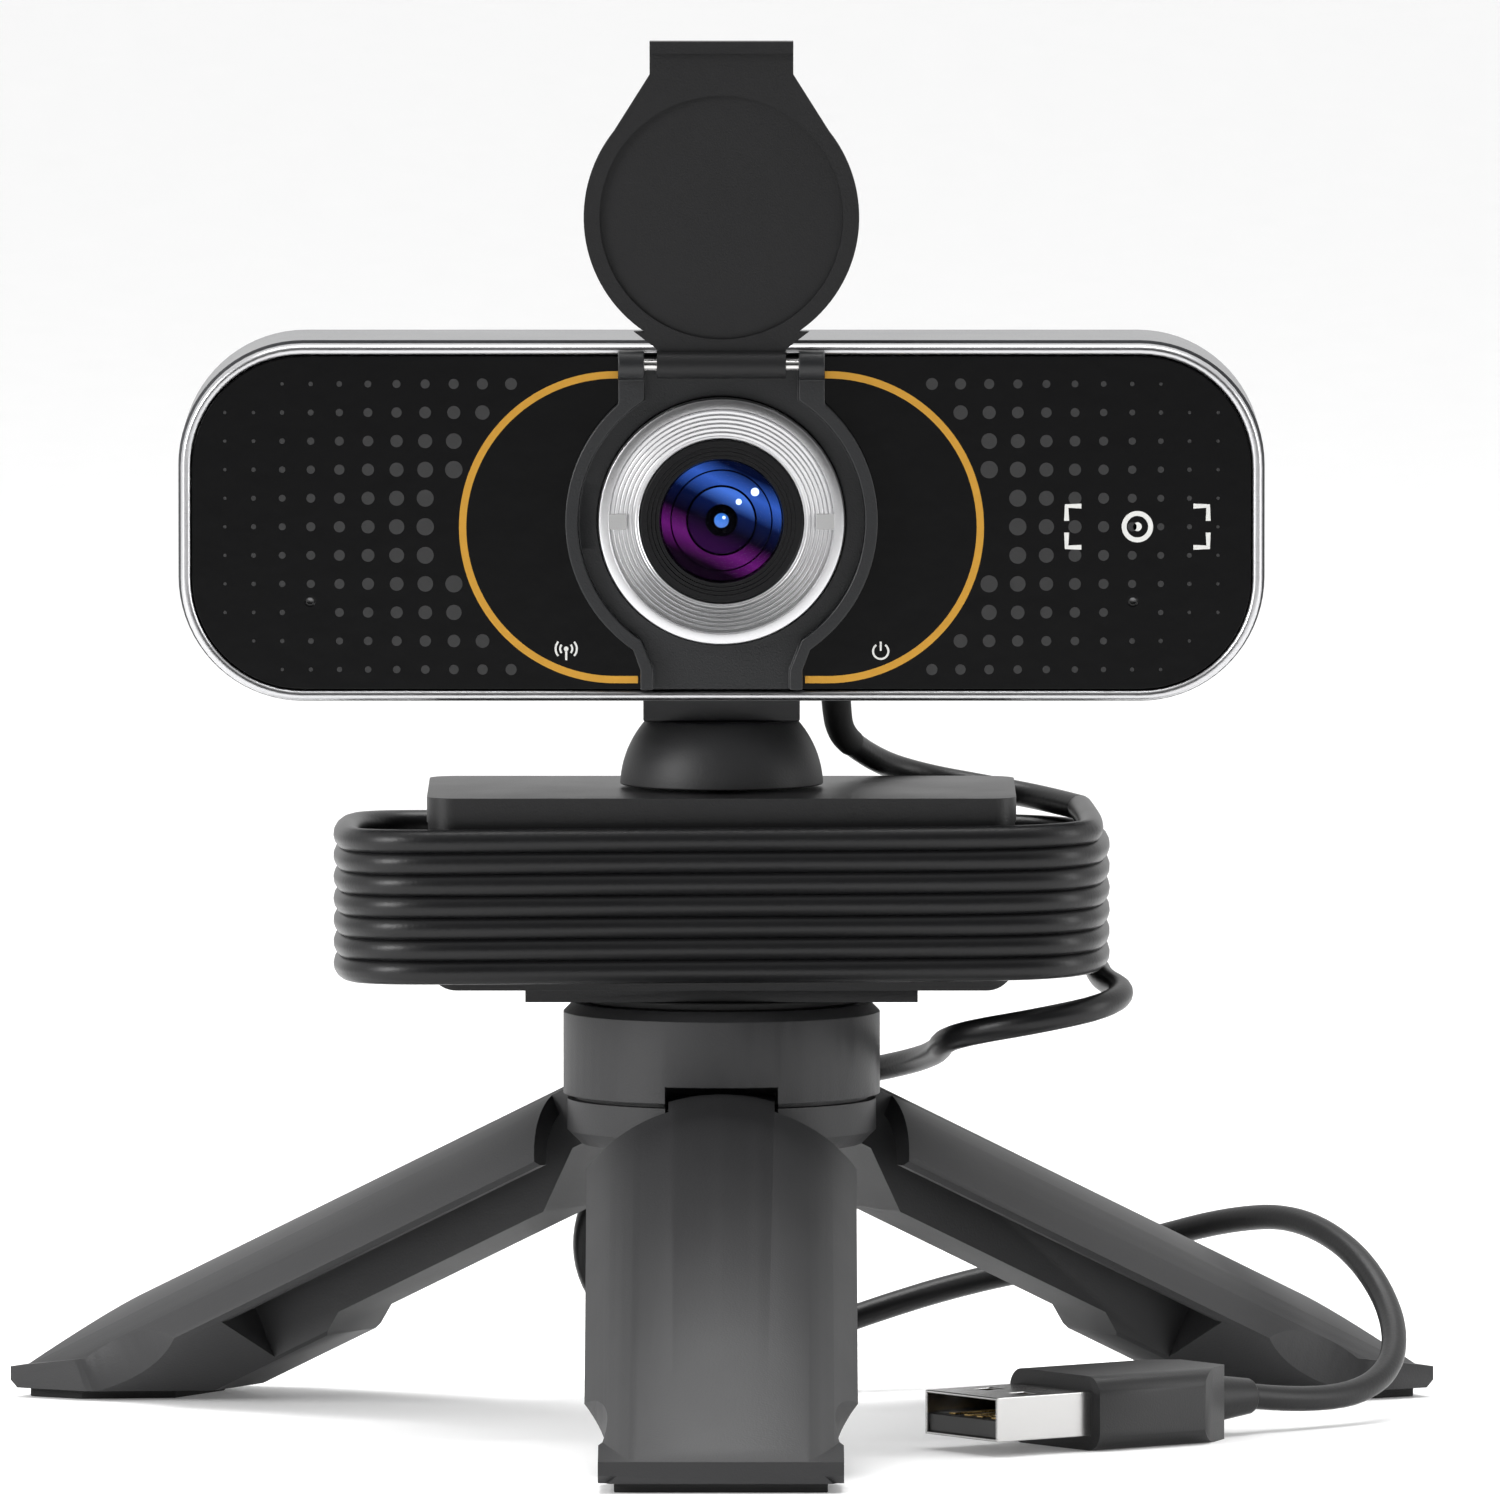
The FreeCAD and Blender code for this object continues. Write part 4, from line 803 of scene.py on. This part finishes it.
def build_glass():
    """Domed front glass over a dark well with an inner lens, rims and pupil; the well, inner lens
    and pupil glow in painted reflections, and three glowing discs are painted highlights.
    """
    edge = GLASS_R / MM
    lens_disc("front_lens", [(edge, 2.2)] + dome(edge, 1.35, 0.55, 14),
              coated_glass_material(), ("lens_front_glass",))
    # Painted reflections: the well and the inner lens glow in colour bands, and the bright blue
    # stops are painted highlights.
    outer = painted_lens_reflection("outer_lens_well", (
        (0.12, (0.006, 0.001, 0.008)), (0.28, (0.17, 0.012, 0.20)), (0.44, (0.004, 0.002, 0.010)),
        (0.60, (0.003, 0.008, 0.05)), (0.78, (0.05, 0.16, 0.70)), (0.93, (0.002, 0.005, 0.03))))
    lens_hoop("outer_well", edge - 0.15, 3.55, 2.32, 2.45, outer)
    inner = painted_lens_reflection("inner_lens", (
        (0.30, (0.03, 0.003, 0.05)), (0.45, (0.003, 0.002, 0.010)),
        (0.60, (0.004, 0.012, 0.08)), (0.73, (0.09, 0.26, 0.95))))
    lens_disc("inner_lens", [(3.4, 2.6)] + dome(3.4, 2.46, 0.2, 10), inner)
    dark = plastic("well_black", (0.001, 0.001, 0.002), 0.5, 5000.0, 0.02, specular=0.0)
    lens_hoop("inner_lens_rim", 3.6, 3.38, 2.24, 2.6, dark)
    lens_hoop("outer_well_step", 5.2, 5.05, 2.26, 2.4, dark)
    lens_disc("pupil_black", [(1.65, 2.3), (1.6, 2.22), (0.3, 2.18)], dark)
    # Painted reflection: a small glowing blue disc in the middle of the dark pupil.
    pupil = print_ink("pupil_blue", (0.02, 0.12, 0.45), 0.1, 0.4)
    lens_disc("pupil", [(0.75, 2.2), (0.65, 2.14), (0.15, 2.12)], pupil)
    # Painted highlights: three small glowing discs inside the lens.
    glint = print_ink("glint", (0.55, 0.72, 1.0), 0.2, 1.0)
    for tag, x, z, r in (("a", 0.25, 0.3, 0.17), ("b", 1.75, 1.9, 0.30), ("c", 3.4, 2.9, 0.42)):
        centre = LENS_FRONT + Vector((x * MM, 0, z * MM))
        profile = [(r * MM, 2.3 * MM), (r * MM, 2.1 * MM)]
        mesh = mesh_of("lens_glint_" + tag, lambda bm: turned_solid(bm, profile, centre, 24), 24)
        piece("lens_glint_" + tag, mesh, "camera", glint)


class WEBCAM_OT_cover(bpy.types.Operator):
    """Privacy cover and its pin"""
    bl_idname = "webcam.cover"
    bl_label = "Privacy cover"

    def execute(self, context):
        softened("privacy_cover", "cover", cover_plastic(), 0.00028, 3)
        softened("cover_pin", "camera", steel(), 0.00008)
        return {"FINISHED"}


class WEBCAM_OT_neck(bpy.types.Operator):
    """Neck block and dome"""
    bl_idname = "webcam.neck"
    bl_label = "Neck"

    def execute(self, context):
        softened("neck_block", "neck", tripod_plastic(), 0.0004)
        softened("neck_dome", "neck", tripod_plastic(), 0.0002)
        return {"FINISHED"}


class WEBCAM_OT_clip(bpy.types.Operator):
    """Folded screen clip"""
    bl_idname = "webcam.clip"
    bl_label = "Screen clip"

    def execute(self, context):
        softened("clip_plate", "base", black_plastic(), 0.0005, 3)
        softened("clip_leg", "base", black_plastic(), 0.0003)
        softened("clip_foot", "base", black_plastic(), 0.0003)
        softened("clip_lip_pad", "base", rubber(), 0.0002)
        return {"FINISHED"}


class WEBCAM_OT_tripod(bpy.types.Operator):
    """Tripod head, hub, legs and soles"""
    bl_idname = "webcam.tripod"
    bl_label = "Tripod"

    def execute(self, context):
        softened("tripod_head", "base", tripod_plastic(), 0.0003)
        softened("tripod_hub", "base", tripod_plastic(), 0.0002)
        softened("head_pad", "base", rubber(), 0.0002)
        for side in ("front", "left", "right"):
            softened("leg_" + side, side + "_leg", tripod_plastic(), 0.0003)
            softened("foot_pad_" + side, side + "_leg", rubber(), 0.00015)
        return {"FINISHED"}


# ------------------------------------------------------------------ lead and plug
def metres(points):
    """Route points in the frame, in metres."""
    return [Vector((x, y, z)) * MM + Vector((0, AXIS_Y, 0)) for x, y, z in points]


def coil_points():
    """The wound turns, clockwise from the right-hand end, each a little different."""
    low, high = (Vector(v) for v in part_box("cord_coil"))
    radius = looks().cord_diameter / 2
    half_w, half_d = (high.x - low.x) / 2 - radius, (high.y - low.y) / 2 - radius
    centre_y = (high.y + low.y) / 2
    top, bottom = high.z - radius, low.z + radius
    bend = COIL_BULGE * COIL_CORNER
    around = []
    for sx, sy, start in ((1, -1, 0), (-1, -1, -90), (-1, 1, -180), (1, 1, -270)):
        for step in (12, 45, 78):
            a = math.radians(start - step)
            around.append((sx * (half_w - COIL_CORNER) + bend * math.cos(a),
                           sy * (half_d - COIL_CORNER) + bend * math.sin(a)))
        if sx != sy:
            around += [(sx * share * (half_w - COIL_CORNER), sy * half_d) for share in (0.5, -0.5)]
    points = []
    total = TURNS * len(around)
    for i in range(total):
        x, y = around[i % len(around)]
        y += COIL_WOBBLE * math.sin(i * 1.7)
        points.append(Vector((max(-half_w, min(half_w, x)),
                              centre_y + max(-half_d, min(half_d, y)),
                              top + (bottom - top) * i / (total - 1))))
    return points


def spline_curve(name, points, radius):
    """A curve object of one smooth spline with these control points."""
    curve = bpy.data.curves.new(name, "CURVE")
    curve.dimensions = "3D"
    spline = curve.splines.new("NURBS")
    spline.points.add(len(points) - 1)
    for control, at in zip(spline.points, points):
        control.co = (*at, 1)
    spline.order_u = 3
    spline.use_endpoint_u = True
    spline.resolution_u = 8
    curve.bevel_depth = radius
    curve.bevel_resolution = 6
    curve.use_fill_caps = True
    made = bpy.data.objects.new(name, curve)
    bpy.context.scene.collection.objects.link(made)
    return made


def spline_line(name, points):
    """Points read along the spline through these control points."""
    bare = spline_curve(name + "_line", points, 0.0)
    bpy.context.view_layer.update()
    mesh = bpy.data.meshes.new_from_object(bare)
    line = [v.co.copy() for v in mesh.vertices]
    bpy.data.objects.remove(bare)
    bpy.data.meshes.remove(mesh)
    return line


def tube_mesh(name, line, radius_at, steps=20):
    """Round tube along a line, its radius a function of the share of the way."""
    last = len(line) - 1

    def build(bm):
        rings = []
        side = None
        for i, at in enumerate(line):
            along = (line[min(i + 1, last)] - line[max(i - 1, 0)]).normalized()
            side = side - along * side.dot(along) if side else along.cross(Vector((0, 0, 1)))
            side.normalize()
            other = along.cross(side)
            radius = radius_at(i / last)
            angles = (2 * math.pi * k / steps for k in range(steps))
            rings.append([bm.verts.new(at + radius * (side * math.cos(a) + other * math.sin(a)))
                          for a in angles])
        join_rings(bm, rings)
        for ring in (rings[0], rings[-1]):
            bm.faces.new(ring)

    return mesh_of(name, build, 60)


class WEBCAM_OT_lead(bpy.types.Operator):
    """Lead from the webcam, wound turns, tail and plug"""
    bl_idname = "webcam.lead"
    bl_label = "Lead"

    def execute(self, context):
        radius = looks().cord_diameter / 2
        upper = metres(BOOT_ROUTE)
        boot_line = spline_line("boot", upper)
        boot_mesh = tube_mesh("lead_boot", boot_line,
                              lambda share: radius + BOOT_WALL * (1 - 0.6 * share))
        boot = piece("lead_boot", boot_mesh, None, rubber(), ("cord_boot",))
        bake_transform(boot)

        lower = metres(LEAD_ROUTE)
        lead_line = spline_line("lead", lower)
        lead_mesh = tube_mesh("lead_to_turns", lead_line, lambda share: radius)
        lead = piece("lead_to_turns", lead_mesh, None, jacket(), ("cord_lead",))
        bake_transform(lead)

        plug = build_plug()
        route = [lower[-1], *coil_points(), *metres(TAIL_ROUTE)]
        line = spline_line("wound", route)
        wound = spline_curve("wound_lead", route, radius)
        wound.data.materials.append(jacket())
        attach(wound, "base")
        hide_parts("cord_coil", "cord_tail")
        return {"FINISHED"}


def build_plug():
    """Plug pieces with their finishes."""
    return [softened("plug_body", "base", black_plastic(), 0.0003, 3),
            softened("plug_relief", "base", jacket(), 0.0002),
            softened("plug_shell", "base", plated_steel(), 0.00012),
            softened("plug_tongue", "base", print_ink("tongue", (0.03, 0.03, 0.03), 0.5),
                     0.0001),
            softened("plug_contacts", "base", brass(), 0.00003)]


class WEBCAM_OT_inside(bpy.types.Operator):
    """Finishes of the pieces inside the webcam, clip and tripod"""
    bl_idname = "webcam.inside"
    bl_label = "Inside"

    def execute(self, context):
        green = plastic("board_lacquer", (0.01, 0.09, 0.04), 0.25, 800.0)
        finishes = {
            black_plastic(): ("inner_frame", "lens_barrel", "lens_holder", "video_chip"),
            green: ("main_board", "ir_filter"),
            gloss_acrylic(): ("image_sensor", "lens_elements"),
            print_ink("connector", (0.7, 0.7, 0.66)): ("board_connector",),
            silver(): ("microphones",),
            print_ink("led", (0.5, 0.5, 0.5)): ("power_led",),
            steel(): ("case_screws", "board_screws", "tilt_pin", "swivel_screw", "swivel_washer",
                      "clip_pins", "stud_bolt", "leg_pins"),
            brass(): ("thread_insert",)}
        for finish, nodes in finishes.items():
            for node in nodes:
                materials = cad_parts[node].data.materials
                if not materials:
                    materials.append(finish)
                for i in range(len(materials)):
                    materials[i] = finish
        return {"FINISHED"}


# ------------------------------------------------------------------ stage
def soft_light(name, at, aim, size, size_y, power):
    """Area light aimed at a place."""
    data = bpy.data.lights.new(name, "AREA")
    data.shape = "RECTANGLE"
    data.size, data.size_y = size, size_y
    data.energy = power
    made = bpy.data.objects.new(name, data)
    made.location = at
    made.rotation_euler = (Vector(aim) - Vector(at)).to_track_quat("-Z", "Y").to_euler()
    bpy.context.scene.collection.objects.link(made)


def dim_reflections(tree, background):
    """White round the horizon, falling to grey behind the viewer so that black stays black."""
    place = tree.nodes.new("ShaderNodeTexCoord").outputs["Generated"]
    split = tree.nodes.new("ShaderNodeSeparateXYZ")
    tree.links.new(place, split.inputs[0])
    ramp = tree.nodes.new("ShaderNodeValToRGB")
    half = math_node(tree, "MULTIPLY", split.outputs["Y"], 0.5)
    tree.links.new(math_node(tree, "ADD", half, 0.5), ramp.inputs["Fac"])
    ramp.color_ramp.elements[0].color = (0.03, 0.03, 0.03, 1)
    ramp.color_ramp.elements[0].position = 0.10
    ramp.color_ramp.elements[1].color = (1.0, 1.0, 1.0, 1)
    ramp.color_ramp.elements[1].position = 0.34
    tree.links.new(ramp.outputs["Color"], background.inputs["Color"])


class WEBCAM_OT_stage(bpy.types.Operator):
    """Camera, floor and soft studio light"""
    bl_idname = "webcam.stage"
    bl_label = "Stage"

    def execute(self, context):
        scene = context.scene
        data = bpy.data.cameras.new("studio_camera")
        data.sensor_width = SENSOR_MM
        data.lens = SENSOR_MM * CAMERA_BACK / VIEW_WIDTH
        data.clip_end = 50
        camera = bpy.data.objects.new("studio_camera", data)
        at = Vector((TARGET.x, TARGET.y - CAMERA_BACK, CAMERA_HEIGHT))
        camera.location = at
        camera.rotation_euler = (TARGET - at).to_track_quat("-Z", "Y").to_euler()
        scene.collection.objects.link(camera)
        scene.camera = camera

        mesh = mesh_of("floor", lambda bm: bmesh.ops.create_grid(
            bm, x_segments=8, y_segments=8, size=6.0))
        floor = bpy.data.objects.new("floor", mesh)
        scene.collection.objects.link(floor)
        mesh.materials.append(print_ink("pale_floor", (0.92, 0.92, 0.92), 0.7, 0.12))

        world = bpy.data.worlds.new("studio")
        world.use_nodes = True
        background = world.node_tree.nodes["Background"]
        background.inputs["Strength"].default_value = 1.05
        dim_reflections(world.node_tree, background)
        scene.world = world
        scene.view_settings.view_transform = "Standard"
        aim = (0, AXIS_Y, 0.08)
        soft_light("key_left", (-0.85, -0.50, 0.45), aim, 0.35, 0.5, 9.0)
        soft_light("top", (0.0, 0.15, 0.9), aim, 0.7, 0.4, 7.0)
        soft_light("strip_right", (0.8, -0.1, 0.25), aim, 0.12, 0.6, 2.0)
        return {"FINISHED"}


class WEBCAM_PT_panel(bpy.types.Panel):
    """Sidebar panel that lists the pieces"""
    bl_label = "Webcam on tripod"
    bl_idname = "WEBCAM_PT_panel"
    bl_space_type = "VIEW_3D"
    bl_region_type = "UI"
    bl_category = "Webcam"

    def draw(self, context):
        layout = self.layout
        for prop in ("grain", "edge_scale", "cord_diameter", "dot_pitch", "dot_radius",
                     "gold", "black", "grey", "silver"):
            layout.prop(context.scene.webcam_looks, prop)
        for maker in OPERATORS:
            layout.operator(maker.bl_idname)


OPERATORS = (WEBCAM_OT_lead, WEBCAM_OT_stage, WEBCAM_OT_body, WEBCAM_OT_panel_print,
             WEBCAM_OT_lens, WEBCAM_OT_cover, WEBCAM_OT_neck, WEBCAM_OT_clip, WEBCAM_OT_tripod,
             WEBCAM_OT_inside)


def register():
    """Register the settings, operators and panel."""
    for cls in (WebcamLooks, *OPERATORS, WEBCAM_PT_panel):
        bpy.utils.register_class(cls)
    bpy.types.Scene.webcam_looks = bpy.props.PointerProperty(type=WebcamLooks)


def unregister():
    """Remove what register added."""
    del bpy.types.Scene.webcam_looks
    for cls in (WEBCAM_PT_panel, *reversed(OPERATORS), WebcamLooks):
        bpy.utils.unregister_class(cls)


def main():
    """Build every piece."""
    register()
    for maker in OPERATORS:
        group, call = maker.bl_idname.split(".")
        getattr(getattr(bpy.ops, group), call)()


if __name__ == "__main__":
    main()
